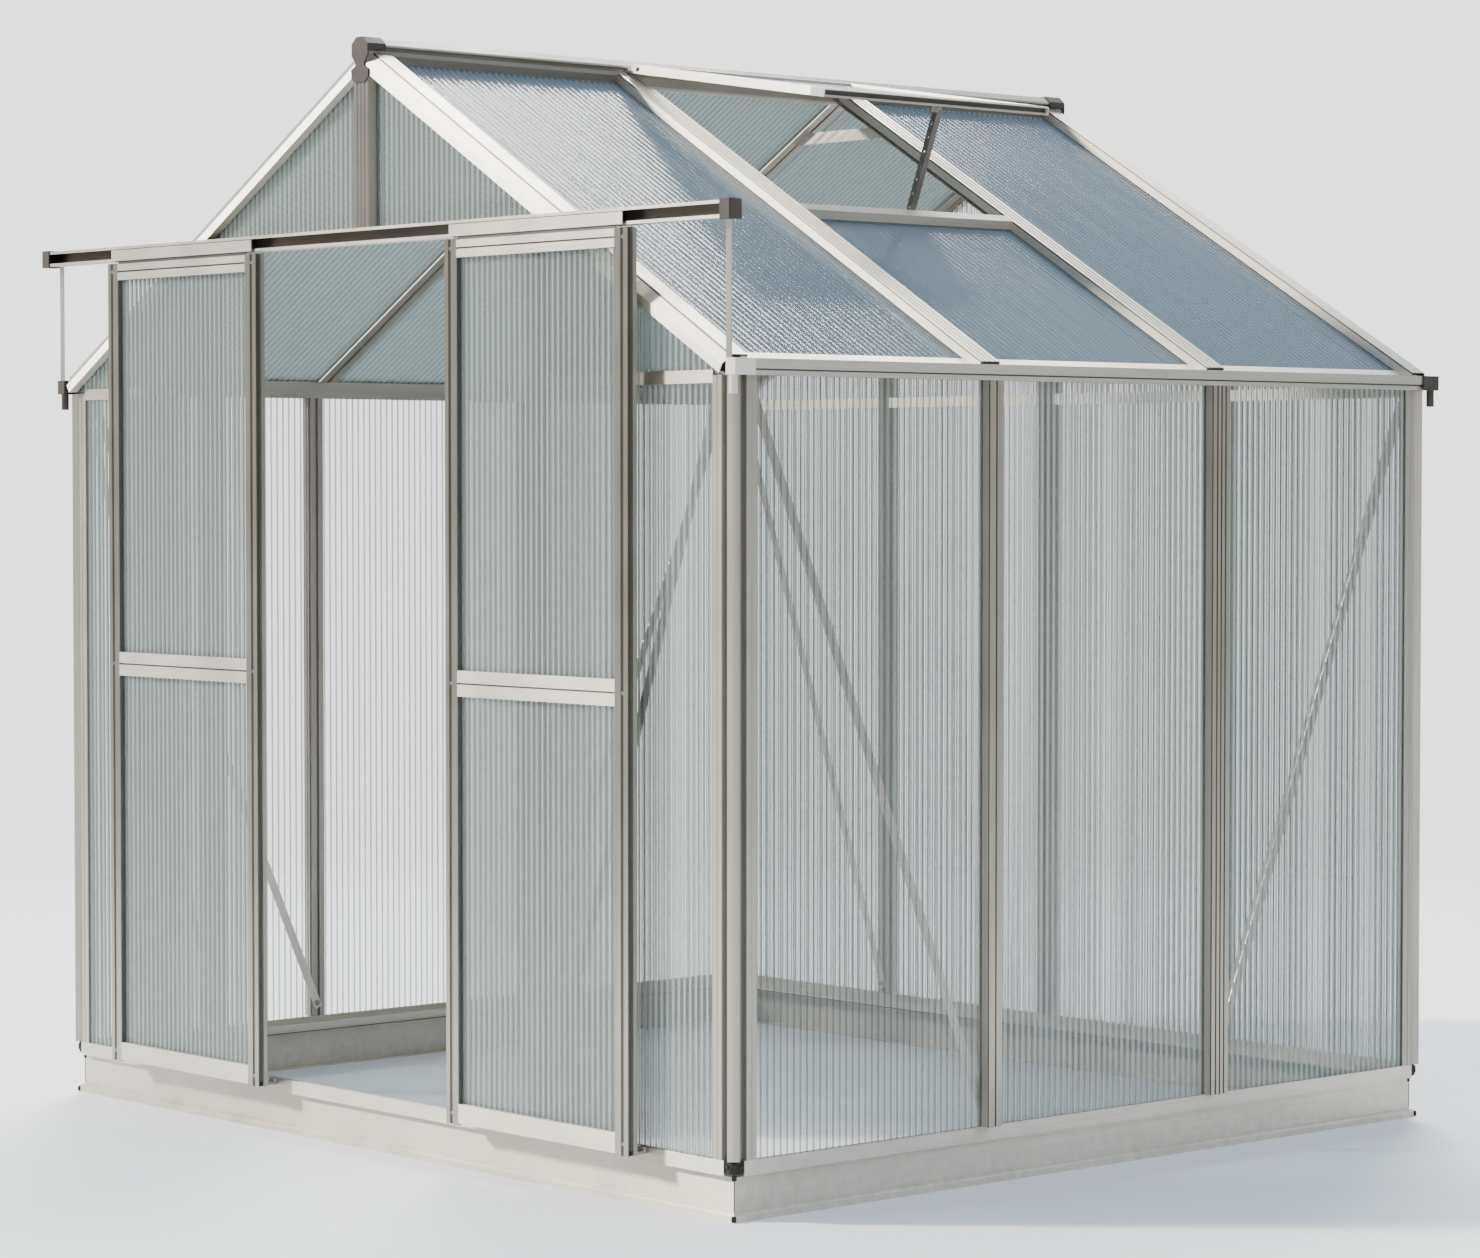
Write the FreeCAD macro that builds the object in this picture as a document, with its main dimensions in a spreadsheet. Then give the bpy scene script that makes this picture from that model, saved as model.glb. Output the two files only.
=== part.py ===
import FreeCAD, Part
import os
import re
import Sketcher

# Millimetres; vent_open is in degrees.
SIZES = {
    "base_width": 2163,
    "base_length": 1900,
    "base_height": 88,
    "base_wall": 3,
    "base_flange": 40,
    "base_foot": 25,
    "toe_reach": 10,
    "toe_height": 17,
    "toe_face": 12,
    "toe_ease": 3,
    "sill_overhang": 16,
    "sill_height": 24,
    "sill_drop": 4,
    "sill_depth": 30,
    "sill_gap": 11,
    "sill_lip": 12,
    "sheet": 6,
    "lip": 2,
    "fit": 0.3,
    "eaves_height": 1532,
    "apex_height": 2165,
    "roof_foot": 6.58,
    "rafter_short": 1.8,
    "bead_proud": 20,
    "wide_bead": 48,
    "narrow_bead": 35,
    "web_width": 16,
    "bar_wall": 2,
    "flute_width": 4,
    "flute_depth": 1.5,
    "bolt_slot": 6.6,
    "bolt_head": 11.4,
    "wing_reach": 40.5,
    "wing_slot": 22,
    "nose_out": 13,
    "nose_half": 8.1,
    "nose_crown": 1.2,
    "nose_shoulder": 9,
    "nose_hollow": 10.5,
    "heel_hollow": 2,
    "hollow_half": 4.2,
    "wing_start": 16,
    "wing_groove": 24.5,
    "groove_width": 5,
    "wing_back": 14,
    "post_heel": 7,
    "gutter_out": 39,
    "gutter_rise": 30,
    "gutter_wall": 2.4,
    "gutter_floor": 7.5,
    "gutter_soffit": 5,
    "gutter_lip": 6.5,
    "gutter_slot": 11.5,
    "gutter_line": 11.5,
    "gutter_step": 3.5,
    "line_depth": 1,
    "seat_level": 14,
    "seat_foot": 8.5,
    "seat_wall": 2.5,
    "seat_run": 48,
    "seat_past": 0.5,
    "cap_wall": 2.7,
    "spout_radius": 8,
    "spout_drop": 34,
    "spout_inset": 9,
    "spout_out": 26,
    "cheek_run": 20,
    "ridge_rise": 54,
    "ridge_half": 23.5,
    "ridge_crown": 9.7,
    "ridge_bevel": 12,
    "ridge_flank": 10,
    "ridge_reach": 34,
    "ridge_wall": 3,
    "ridge_side": 12,
    "ridge_shoulder": 8,
    "ridge_floor": 4,
    "ridge_cap": 3.5,
    "cap_rim": 3,
    "cap_side": 34,
    "cap_neck": 49,
    "neck_height": 5,
    "neck_half": 14.5,
    "sleeve_side": 24,
    "cap_sleeve": 42,
    "lobe_half": 28,
    "lobe_top": 61,
    "lobe_height": 26,
    "lobe_bevel": 10,
    "lobe_flat": 12,
    "hinge_inset": 3.2,
    "hinge_radius": 5,
    "hinge_neck": 3,
    "rafter_bevel": 15,
    "rafter_depth": 54,
    "rafter_slot": 40,
    "rafter_skirt": 4,
    "rail_height": 24,
    "rail_drop": 14,
    "rail_slot": 8,
    "side_bay": 541.5,
    "header_height": 30,
    "header_gap": 0.1,
    "track_height": 32,
    "track_depth": 26,
    "track_wall": 2.5,
    "track_lip": 6,
    "track_past": 31,
    "track_line": 13,
    "track_rib": 6,
    "track_cap": 26,
    "strut_out": 23.5,
    "strut_width": 13,
    "strut_thick": 3,
    "door_lap": 8,
    "door_drop": 4,
    "door_depth": 23,
    "door_front": 66,
    "door_lift": 10,
    "rail_lift": 3,
    "door_rail": 36,
    "door_mid": 927,
    "mid_rail": 50,
    "bottom_rail": 38,
    "stile_width": 37,
    "stile_slot": 10,
    "stile_recess": 6,
    "stile_edge": 2.5,
    "stile_back": 9,
    "stile_lip": 11,
    "stile_strip": 9,
    "strip_depth": 2,
    "rail_groove": 3.5,
    "rail_depth": 2.5,
    "sheet_depth": 9.3,
    "hanger_inset": 14,
    "hanger_gap": 5,
    "hanger_height": 23,
    "hanger_thick": 3,
    "neck_thick": 2.4,
    "neck_hold": 6,
    "neck_drop": 2,
    "left_open": 322.5,
    "right_open": 312.5,
    "roller_radius": 11,
    "roller_width": 8,
    "roller_groove": 1.5,
    "roller_back": 4,
    "roller_inset": 60,
    "pin_radius": 3,
    "pin_fit": 0.05,
    "guide_width": 20,
    "guide_height": 12,
    "guide_inset": 6,
    "guide_lift": 1,
    "guide_plate": 5,
    "guide_tooth": 6,
    "vent_open": 21.4,
    "vent_length": 617,
    "vent_gap": 0.53,
    "vent_clear": 5.3,
    "vent_nose": 5,
    "face_low": 0.3,
    "face_height": 9.7,
    "face_depth": 8,
    "vent_cap": 3,
    "vent_thick": 18,
    "vent_below": 4.2,
    "vent_start": 14,
    "vent_top": 26,
    "vent_side": 30,
    "vent_bottom": 40,
    "vent_slot": 10,
    "vent_sheet": 2,
    "vent_lap": 26,
    "sill_run": 26,
    "sill_bite": 12,
    "stay_inset": 45,
    "stay_below": 12,
    "stay_length": 345,
    "stay_leg": 14,
    "stay_thick": 2,
    "stay_y": 35,
    "stay_turn": 0.4,
    "stay_pin": 2.5,
    "stay_hole": 2.6,
    "stay_pitch": 30,
    "lug_thick": 3,
    "guide_reach": 42,
    "guide_level": 9,
    "brace_width": 20,
    "brace_thick": 2,
    "brace_drop": 20,
    "brace_lift": 16,
    "brace_hold": 15,
    "tie_drop": 80,
    "tie_height": 25,
    "tie_thick": 3,
    "foot_cap": 3,
}

# Sizes that follow from the ones above; _out and _in are levels measured outwards from the base plates.
DERIVED = {
    "half_width": "base_width / 2",
    "half_length": "base_length / 2",
    "pane_out": "sill_overhang - lip - fit",
    "pane_in": "pane_out - sheet",
    "clamp_out": "pane_out + fit",
    "clamp_in": "pane_in - fit",
    "back_in": "clamp_in - lip",
    "bead_out": "clamp_out + bead_proud",
    "sill_top": "base_height + sill_height",
    "sill_floor": "base_height + base_wall",
    "house_shift": "(door_front - ridge_reach - ridge_cap) / 2",
    "roof_rise": "apex_height - eaves_height - roof_foot",
    "slope_long": "sqrt(half_width^2 + roof_rise^2)",
    "slope_cos": "half_width / slope_long",
    "slope_sin": "roof_rise / slope_long",
    "slope_tan": "roof_rise / half_width",
    "roof_pitch": "atan(slope_tan)",
    "roof_run": "slope_long - rafter_short",
    "web_half": "web_width / 2",
    "pane_gap": "web_half + fit",
    "bar_pitch": "base_length / 3",
    "bar_y": "bar_pitch / 2",
    "rail_bottom": "eaves_height - rail_drop",
    "rail_top": "rail_bottom + rail_height",
    "door_post_x": "half_width - side_bay",
    "track_top": "apex_height - (door_post_x + narrow_bead / 2) * slope_tan - header_gap",
    "header_bottom": "track_top - header_height",
    "track_bottom": "track_top - track_height",
    "track_front": "bead_out + track_depth",
    "strut_x": "half_width + strut_out",
    "track_half": "strut_x + track_past",
    "door_top": "track_bottom - door_drop",
    "door_bottom": "base_height + door_lift",
    "door_width": "door_post_x + door_lap",
    "post_top": "apex_height - rafter_skirt / slope_cos - (door_post_x + narrow_bead / 2) * slope_tan - fit",
    "peak_top": "apex_height - rafter_skirt / slope_cos - wide_bead / 2 * slope_tan - fit",
    "seat_start": "roof_run - seat_run",
    "seat_end": "roof_run + seat_past",
    "sheet_end": "roof_run - 2 * seat_past",
    "gutter_half": "half_length + back_in - fit",
    "gutter_top": "eaves_height + gutter_rise",
    "flank_x": "ridge_flank * slope_cos",
    "flank_z": "apex_height - ridge_flank * slope_sin",
    "corner_rise": "(ridge_half - flank_x) / slope_sin",
    "hinge_x": "ridge_half - hinge_inset",
    "ridge_top": "apex_height + ridge_rise",
    "hinge_rise": "(bead_out + vent_below + vent_gap - hinge_x * slope_sin) / slope_cos",
    "hinge_height": "apex_height + hinge_rise",
    "hinge_along": "hinge_x * slope_cos - hinge_rise * slope_sin",
    "vent_tilt": "roof_pitch - vent_open * 1deg",
    "vent_width": "bar_pitch - vent_clear",
    "vent_above": "vent_thick - vent_below",
    "sill_start": "hinge_along + vent_length - vent_lap",
    "stay_along": "vent_length - stay_inset",
    "stay_tilt": "roof_pitch - vent_open * stay_turn * 1deg",
    "roller_z": "track_bottom + track_wall + roller_radius + fit",
    "roller_y": "track_front - roller_back - roller_width / 2",
    "inner_width": "door_width - 2 * stile_width",
    "hanger_bottom": "door_top + hanger_gap",
    "brace_foot": "sill_top + brace_lift",
    "brace_rise": "eaves_height - brace_drop - brace_foot",
    "tie_level": "apex_height - tie_drop",
    "brace_reach": "half_length - wing_reach + brace_hold - bar_y - brace_width / 2",
    "brace_span": "half_width - wing_reach + brace_hold - door_post_x - brace_width / 2",
}

doc = FreeCAD.newDocument("greenhouse")
table = doc.addObject("Spreadsheet::Sheet", "sizes")
for row, (name, value) in enumerate(SIZES.items(), start=1):
    table.set(f"A{row}", str(value))
    table.setAlias(f"A{row}", name)
doc.recompute()
NODES = []


def sized(text):
    """The expression for a text written with the size names."""
    def swap(match):
        word = match.group(0)
        if word in SIZES:
            return "sizes." + word
        if word in DERIVED:
            return "(" + sized(DERIVED[word]) + ")"
        return word
    return re.sub(r"[a-z][a-z_]*", swap, str(text))


def number(text):
    """The value that a text has now."""
    return float(table.evalExpression(sized(text)))


def place(piece, base, axis=(0, 0, 1), angle="0"):
    """Turns a piece about an axis through its own origin and moves it to a base point of the house."""
    turn = FreeCAD.Rotation(FreeCAD.Vector(*axis), number(angle))
    piece.Placement = FreeCAD.Placement(FreeCAD.Vector(0, 0, 0), turn)
    piece.setExpression("Placement.Rotation.Angle", sized(angle))
    piece.setExpression("Placement.Base.x", sized(base[0]))
    piece.setExpression("Placement.Base.y", sized(f"{base[1]} + house_shift"))
    piece.setExpression("Placement.Base.z", sized(base[2]))
    return piece


def sketch(body, plane, loops):
    """A sketch of closed outlines on one of the body's own planes, each corner held by two sizes."""
    drawing = body.newObject("Sketcher::SketchObject", body.Label + "_outline")
    support = next(feature for feature in body.Origin.OriginFeatures if feature.Role == plane + "_Plane")
    drawing.AttachmentSupport = (support, "")
    drawing.MapMode = "FlatFace"
    first = 0
    for loop in loops:
        corners = [FreeCAD.Vector(number(across), number(up), 0) for across, up in loop]
        count = len(corners)
        lines = [Part.LineSegment(corners[i], corners[(i + 1) % count]) for i in range(count)]
        drawing.addGeometry(lines, False)
        for i, (across, up) in enumerate(loop):
            here = first + i
            drawing.addConstraint(Sketcher.Constraint("Coincident", here, 2, first + (i + 1) % count, 1))
            level = drawing.addConstraint(Sketcher.Constraint("DistanceX", -1, 1, here, 1, corners[i].x))
            drawing.setExpression(f"Constraints[{level}]", sized(across))
            level = drawing.addConstraint(Sketcher.Constraint("DistanceY", -1, 1, here, 1, corners[i].y))
            drawing.setExpression(f"Constraints[{level}]", sized(up))
        first += count
    return drawing


def profile(label, plane, loops, length):
    """A bar of constant section: XY runs up Z, YZ runs along X, XZ runs along Y."""
    body = doc.addObject("PartDesign::Body", label)
    drawing = sketch(body, plane, loops)
    pad = body.newObject("PartDesign::Pad", label + "_pad")
    pad.Profile = drawing
    pad.Reversed = plane == "XZ"
    pad.setExpression("Length", sized(length))
    return body


def trim(body, loops):
    """Cuts upright outlines out of a body that stands above its own XY plane."""
    doc.recompute()
    drawing = sketch(body, "XY", loops)
    pocket = body.newObject("PartDesign::Pocket", body.Label + "_trim")
    pocket.Profile = drawing
    pocket.Type = "ThroughAll"
    pocket.Reversed = True
    return body


def block(label, length, width, height):
    """A plain rectangular piece."""
    piece = doc.addObject("Part::Box", label)
    piece.setExpression("Length", sized(length))
    piece.setExpression("Width", sized(width))
    piece.setExpression("Height", sized(height))
    return piece


def rod(label, radius, height):
    """A plain round piece along its own Z."""
    piece = doc.addObject("Part::Cylinder", label)
    piece.setExpression("Radius", sized(radius))
    piece.setExpression("Height", sized(height))
    return piece


def across(source, label):
    """The same piece on the other side of the house, left for right."""
    copy = doc.addObject("Part::Mirroring", label)
    copy.Source = source
    copy.Normal = (1, 0, 0)
    return copy


def opposite(source, label):
    """The same piece at the other end of the house, front for rear."""
    copy = doc.addObject("Part::Mirroring", label)
    copy.Source = source
    copy.Normal = (0, 1, 0)
    copy.setExpression("Base.y", sized("house_shift"))
    return copy


def fused(label, pieces):
    """One solid made of several."""
    joined = doc.addObject("Part::MultiFuse", label)
    joined.Shapes = pieces
    return joined


def cut(label, base, tool):
    """A piece less another."""
    left = doc.addObject("Part::Cut", label)
    left.Base = base
    left.Tool = tool
    return left


def node(piece, label):
    """Names a single piece that is written out."""
    piece.Label = label
    NODES.append(piece)
    return piece


def group(label, pieces):
    """Writes several like pieces out together."""
    together = doc.addObject("Part::Compound", label)
    together.Links = pieces
    return node(together, label)


def bar(label, bead, flutes, length, plane="XY"):
    """A glazing bar: hollow bead outside, web, clamp and bolt slot inside."""
    half = f"{bead} / 2"
    front = []
    for step in flutes:
        middle = f"({half}) * {step}"
        front += [(f"{middle} + flute_width / 2", "bead_out"),
                  (f"{middle} + flute_width / 2", "bead_out - flute_depth"),
                  (f"{middle} - flute_width / 2", "bead_out - flute_depth"),
                  (f"{middle} - flute_width / 2", "bead_out")]
    outline = [(f"-{half}", "back_in"), ("-bolt_slot / 2", "back_in"), ("-bolt_slot / 2", "clamp_in"),
               ("-bolt_head / 2", "clamp_in"), ("-bolt_head / 2", "clamp_out - lip"),
               ("bolt_head / 2", "clamp_out - lip"), ("bolt_head / 2", "clamp_in"),
               ("bolt_slot / 2", "clamp_in"), ("bolt_slot / 2", "back_in"), (half, "back_in"),
               (half, "clamp_in"), ("web_half", "clamp_in"), ("web_half", "clamp_out"),
               (half, "clamp_out"), (half, "bead_out")]
    outline += front
    outline += [(f"-{half}", "bead_out"), (f"-{half}", "clamp_out"), ("-web_half", "clamp_out"),
                ("-web_half", "clamp_in"), (f"-{half}", "clamp_in")]
    inside = f"{half} - bar_wall"
    low = "clamp_out + bar_wall"
    high = "bead_out - bar_wall - flute_depth"
    hollow = [(f"-({inside})", low), (inside, low), (inside, high), (f"-({inside})", high)]
    return profile(label, plane, [outline, hollow], length)


def slope_point(along, out):
    """A point of the right roof slope, measured down the slope from the apex and outwards from it."""
    return (f"({along}) * slope_cos + ({out}) * slope_sin",
            f"apex_height - ({along}) * slope_sin + ({out}) * slope_cos")


def on_slope(piece, along, station, out):
    """Lays a piece on the right roof slope."""
    reach, level = slope_point(along, out)
    return place(piece, (reach, station, level), (0, 1, 0), "roof_pitch")


def on_vent(piece, along, station):
    """Hangs a piece on the vent, at a distance from its hinge."""
    reach = f"hinge_x + ({along}) * cos(vent_tilt)"
    level = f"hinge_height - ({along}) * sin(vent_tilt)"
    return place(piece, (reach, station, level), (0, 1, 0), "vent_tilt")


FLUTES = (0.5, 0, -0.5)
GROOVE = (0,)

# Base plates: C sections with a stepped foot, mitred where they meet.
base_section = [("toe_reach", "0"), ("toe_reach", "toe_face"),
                ("toe_reach - toe_ease", "toe_face + toe_ease"), ("0", "toe_height"), ("0", "base_height"),
                ("-base_flange", "base_height"), ("-base_flange", "base_height - base_wall"),
                ("-base_wall", "base_height - base_wall"), ("-base_wall", "base_wall"),
                ("-base_foot", "base_wall"), ("-base_foot", "0")]
side_run = "base_length + 2 * toe_reach"
end_run = "base_width + 2 * toe_reach"
base_right = profile("base_right", "XZ", [base_section], side_run)
trim(base_right, [[("toe_reach", "0"), ("-base_flange", "toe_reach + base_flange"), ("-base_flange", "0")],
                  [("toe_reach", side_run), ("-base_flange", side_run),
                   ("-base_flange", f"{side_run} - toe_reach - base_flange")]])
place(base_right, ("half_width", "-half_length - toe_reach", "0"))
base_rear = profile("base_rear", "YZ", [base_section], end_run)
trim(base_rear, [[("0", "toe_reach"), ("0", "-base_flange"), ("toe_reach + base_flange", "-base_flange")],
                 [(end_run, "toe_reach"), (f"{end_run} - toe_reach - base_flange", "-base_flange"),
                  (end_run, "-base_flange")]])
place(base_rear, ("-half_width - toe_reach", "half_length", "0"))
group("base_sides", [base_right, across(base_right, "base_left")])
group("base_ends", [base_rear, opposite(base_rear, "base_front")])

# Sills: channels that hold the foot of every sheet; the ends leave room for the corner joiners.
sill_section = [("sill_overhang - lip", "base_height - sill_drop"),
                ("sill_overhang", "base_height - sill_drop"), ("sill_overhang", "sill_top"),
                ("clamp_out", "sill_top"), ("clamp_out", "sill_floor"),
                ("clamp_in", "sill_floor"), ("clamp_in", "sill_top"), ("back_in", "sill_top"),
                ("back_in", "sill_floor"), ("lip - sill_depth", "sill_floor"),
                ("lip - sill_depth", "sill_floor + sill_lip"), ("-sill_depth", "sill_floor + sill_lip"),
                ("-sill_depth", "base_height"), ("sill_overhang - lip", "base_height")]
side_run = "base_length - 2 * sill_gap"
end_run = "base_width - 2 * sill_gap"
sill_right = profile("sill_right", "XZ", [sill_section], side_run)
trim(sill_right, [[("-sill_gap", "0"), ("-sill_depth", "sill_depth - sill_gap"), ("-sill_depth", "0")],
                  [("-sill_gap", side_run), ("-sill_depth", side_run),
                   ("-sill_depth", f"{side_run} - sill_depth + sill_gap")]])
place(sill_right, ("half_width", "-half_length + sill_gap", "0"))
sill_rear = profile("sill_rear_bar", "YZ", [sill_section], end_run)
trim(sill_rear, [[("0", "-sill_gap"), ("0", "-sill_depth"), ("sill_depth - sill_gap", "-sill_depth")],
                 [(end_run, "-sill_gap"), (f"{end_run} - sill_depth + sill_gap", "-sill_depth"),
                  (end_run, "-sill_depth")]])
place(sill_rear, ("-half_width + sill_gap", "half_length", "0"))
group("side_sills", [sill_right, across(sill_right, "sill_left")])
node(opposite(sill_rear, "sill_front"), "sill_front")
node(sill_rear, "sill_rear")

# Corner joiners: chamfered plastic blocks between the sill ends.
joiner_heel = "-sill_gap + fit"
joiner_outline = [(joiner_heel, joiner_heel), ("nose_out", joiner_heel), ("nose_out", "lip"),
                  ("lip", "nose_out"), (joiner_heel, "nose_out")]
joiner = profile("joiner", "XY", [joiner_outline], "sill_height")
place(joiner, ("half_width", "half_length", "base_height"))
joiner_front = opposite(joiner, "joiner_front")
group("base_corner_joiners", [joiner, across(joiner, "joiner_left"), joiner_front,
                              across(joiner_front, "joiner_front_left")])

# Corner posts: two slotted wings and a hollow nose across the corner.
nose_side = "nose_out - nose_half"
nose_edge = "nose_out + nose_half"
groove_end = "-wing_groove - groove_width"
half_post = [(nose_side, nose_edge), ("-nose_shoulder", f"{nose_edge} - ({nose_side}) - nose_shoulder"),
             ("-wing_start", "clamp_in"), ("-wing_start", "sill_overhang"), ("-wing_groove", "sill_overhang"),
             ("-wing_groove", "sill_overhang - lip / 2"), (groove_end, "sill_overhang - lip / 2"),
             (groove_end, "sill_overhang"), ("-wing_reach", "sill_overhang"),
             ("-wing_reach", "clamp_out"), ("-wing_slot", "clamp_out"), ("-wing_slot", "clamp_in"),
             ("-wing_reach", "clamp_in"), ("-wing_reach", "back_in"), ("-wing_back", "back_in")]
post_outline = half_post + [("-post_heel", "-post_heel")] + [(up, out) for out, up in reversed(half_post)]
post_outline += [("nose_out + nose_crown", "nose_out + nose_crown")]
post_hollow = [("nose_hollow - hollow_half", "nose_hollow + hollow_half"),
               ("-heel_hollow - hollow_half", "hollow_half - heel_hollow"),
               ("hollow_half - heel_hollow", "-heel_hollow - hollow_half"),
               ("nose_hollow + hollow_half", "nose_hollow - hollow_half")]
post = profile("corner_post", "XY", [post_outline, post_hollow], "eaves_height - sill_top")
place(post, ("half_width", "half_length", "sill_top"))
post_front = opposite(post, "post_front")
group("rear_corner_posts", [post, across(post, "post_left")])
group("front_corner_posts", [post_front, across(post_front, "post_front_left")])

# Side wall bars: the front one is narrow, the rear one wide and fluted.
wall_run = "eaves_height - sill_top"
mullion_front = bar("mullion_front", "narrow_bead", GROOVE, wall_run)
place(mullion_front, ("half_width", "-bar_y", "sill_top"), angle="-90")
mullion_rear = bar("mullion_rear", "wide_bead", FLUTES, wall_run)
place(mullion_rear, ("half_width", "bar_y", "sill_top"), angle="-90")
group("right_wall_bars", [mullion_front, mullion_rear])
group("left_wall_bars", [across(mullion_front, "mullion_front_left"),
                         across(mullion_rear, "mullion_rear_left")])

# Gable posts: door posts in front, three posts behind, a short one over the door.
rear_post = bar("rear_post", "narrow_bead", GROOVE, "post_top - sill_top")
place(rear_post, ("door_post_x", "half_length", "sill_top"))
door_post = opposite(rear_post, "door_post")
group("door_posts", [door_post, across(door_post, "door_post_left")])
rear_middle = bar("rear_middle", "wide_bead", FLUTES, "peak_top - sill_top")
place(rear_middle, ("0", "half_length", "sill_top"))
group("rear_wall_posts", [rear_post, across(rear_post, "rear_post_left"), rear_middle])
gable_post = bar("gable_post", "wide_bead", FLUTES, "peak_top - track_top")
node(place(gable_post, ("0", "-half_length", "track_top"), angle="180"), "front_gable_post")

# Eaves rails across the gables hold the sheets below and above them.
rail_section = [("back_in", "rail_bottom"), ("clamp_in", "rail_bottom"),
                ("clamp_in", "rail_bottom + rail_slot"), ("clamp_out", "rail_bottom + rail_slot"),
                ("clamp_out", "rail_bottom"),
                ("sill_overhang", "rail_bottom"), ("sill_overhang", "rail_top"), ("clamp_out", "rail_top"),
                ("clamp_out", "rail_top - rail_slot"), ("clamp_in", "rail_top - rail_slot"),
                ("clamp_in", "rail_top"), ("back_in", "rail_top")]
rail_start = "door_post_x + narrow_bead / 2"
rail_outer = profile("rail_outer", "YZ", [rail_section], f"half_width - wing_reach - ({rail_start})")
place(rail_outer, (rail_start, "half_length", "0"))
rail_inner = profile("rail_inner", "YZ", [rail_section], "door_post_x - narrow_bead / 2 - wide_bead / 2")
place(rail_inner, ("wide_bead / 2", "half_length", "0"))
rail_front = opposite(rail_outer, "rail_front")
group("front_gable_rails", [rail_front, across(rail_front, "rail_front_left")])
group("rear_gable_rails", [rail_outer, across(rail_outer, "rail_outer_left"),
                           rail_inner, across(rail_inner, "rail_inner_left")])

# Door header, track, track caps and the struts that hold the track ends up.
header_run = "2 * door_post_x - narrow_bead"
header = profile("header", "YZ", [[("-back_in", "header_bottom"), ("-back_in", "track_top"),
                                   ("-clamp_in", "track_top"), ("-clamp_in", "track_top - rail_slot"),
                                   ("-clamp_out", "track_top - rail_slot"), ("-clamp_out", "track_top"),
                                   ("-bead_out", "track_top"), ("-bead_out", "header_bottom")],
                                  [("-back_in - lip", "header_bottom + lip"),
                                   ("lip - bead_out", "header_bottom + lip"),
                                   ("lip - bead_out", "track_top - lip - rail_slot"),
                                   ("-back_in - lip", "track_top - lip - rail_slot")]], header_run)
node(place(header, (f"-({header_run}) / 2", "-half_length", "0"), (1, 0, 0)), "door_header")
web = "-bead_out - track_wall"
rib_low = "track_top - track_line - track_rib"
track_section = [("-bead_out", "track_bottom"), ("-bead_out", "track_top"), ("-track_front", "track_top"),
                 ("-track_front", "track_top - track_lip"), ("lip - track_front", "track_top - track_lip"),
                 ("lip - track_front", "track_top - track_wall"), (web, "track_top - track_wall"),
                 (web, "track_top - track_line"), (f"{web} - line_depth", "track_top - track_line"),
                 (f"{web} - line_depth", rib_low), (web, rib_low), (web, "track_bottom + track_wall"),
                 ("lip - track_front", "track_bottom + track_wall"),
                 ("lip - track_front", "track_bottom + track_lip"),
                 ("-track_front", "track_bottom + track_lip"), ("-track_front", "track_bottom")]
track = profile("track", "YZ", [track_section], "2 * track_half")
node(place(track, ("-track_half", "-half_length", "0"), (1, 0, 0)), "door_track")
cap_skin = "2 * lip + 2 * fit"
cap_start = "track_half + lip + fit - track_cap"
cap_shell = block("cap_shell", "track_cap", f"track_depth + {cap_skin}", f"track_height + {cap_skin}")
place(cap_shell, (cap_start, "-half_length - track_front - lip - fit", "track_bottom - lip - fit"))
cap_room = block("cap_room", "track_cap - lip", "track_depth + 2 * fit", "track_height + 2 * fit")
place(cap_room, (cap_start, "-half_length - track_front - fit", "track_bottom - fit"))
track_cap = cut("track_cap_right", cap_shell, cap_room)
group("track_end_caps", [track_cap, across(track_cap, "track_cap_left")])
strut = block("strut_right", "strut_width", "strut_thick", "track_top - gutter_top")
place(strut, ("strut_x - strut_width / 2", "-half_length - bead_out", "gutter_top"))
group("track_struts", [strut, across(strut, "strut_left")])

# Gutters are the eaves bars too: sheet slot, trough and the sloped seat under the rafters.
def seat_point(along, out):
    """A point of the right roof slope in the gutter's section."""
    reach, level = slope_point(along, out)
    return (f"{reach} - half_width", level)


gutter_face = "gutter_out - gutter_wall"
lower_face = "gutter_out - gutter_step - gutter_wall"
seat_back = "back_in - seat_wall"
trough = "eaves_height + gutter_floor"
soffit = "eaves_height + gutter_soffit"
slot_head = "eaves_height + gutter_slot"
lip_edge = "gutter_out - gutter_lip"
lip_low = "gutter_top - gutter_wall"
line_foot = "eaves_height + gutter_line"
gutter_section = [seat_point("seat_start", "back_in"), seat_point("seat_end", "back_in"),
                  ("back_in", "eaves_height + seat_level"), ("sill_overhang", "eaves_height + seat_level"),
                  ("sill_overhang", trough), (lower_face, trough),
                  (lower_face, f"{line_foot} + gutter_wall"), (gutter_face, f"{line_foot} + gutter_wall"),
                  (gutter_face, lip_low), (lip_edge, lip_low), (lip_edge, "gutter_top"),
                  ("gutter_out", "gutter_top"), ("gutter_out", line_foot),
                  ("gutter_out - gutter_step", line_foot), ("gutter_out - gutter_step", "eaves_height"),
                  (lower_face, "eaves_height"), (lower_face, soffit),
                  ("sill_overhang", soffit), ("sill_overhang", "eaves_height"),
                  ("clamp_out", "eaves_height"), ("clamp_out", slot_head), ("clamp_in", slot_head),
                  ("clamp_in", "eaves_height"), ("back_in", "eaves_height"),
                  ("back_in", "eaves_height + seat_foot"),
                  seat_point("seat_end", seat_back), seat_point("seat_start", seat_back)]
gutter = profile("gutter", "XZ", [gutter_section], "2 * gutter_half")
place(gutter, ("half_width", "-gutter_half", "0"))
node(across(gutter, "gutter_left"), "gutter_left")
node(gutter, "gutter_right")

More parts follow.
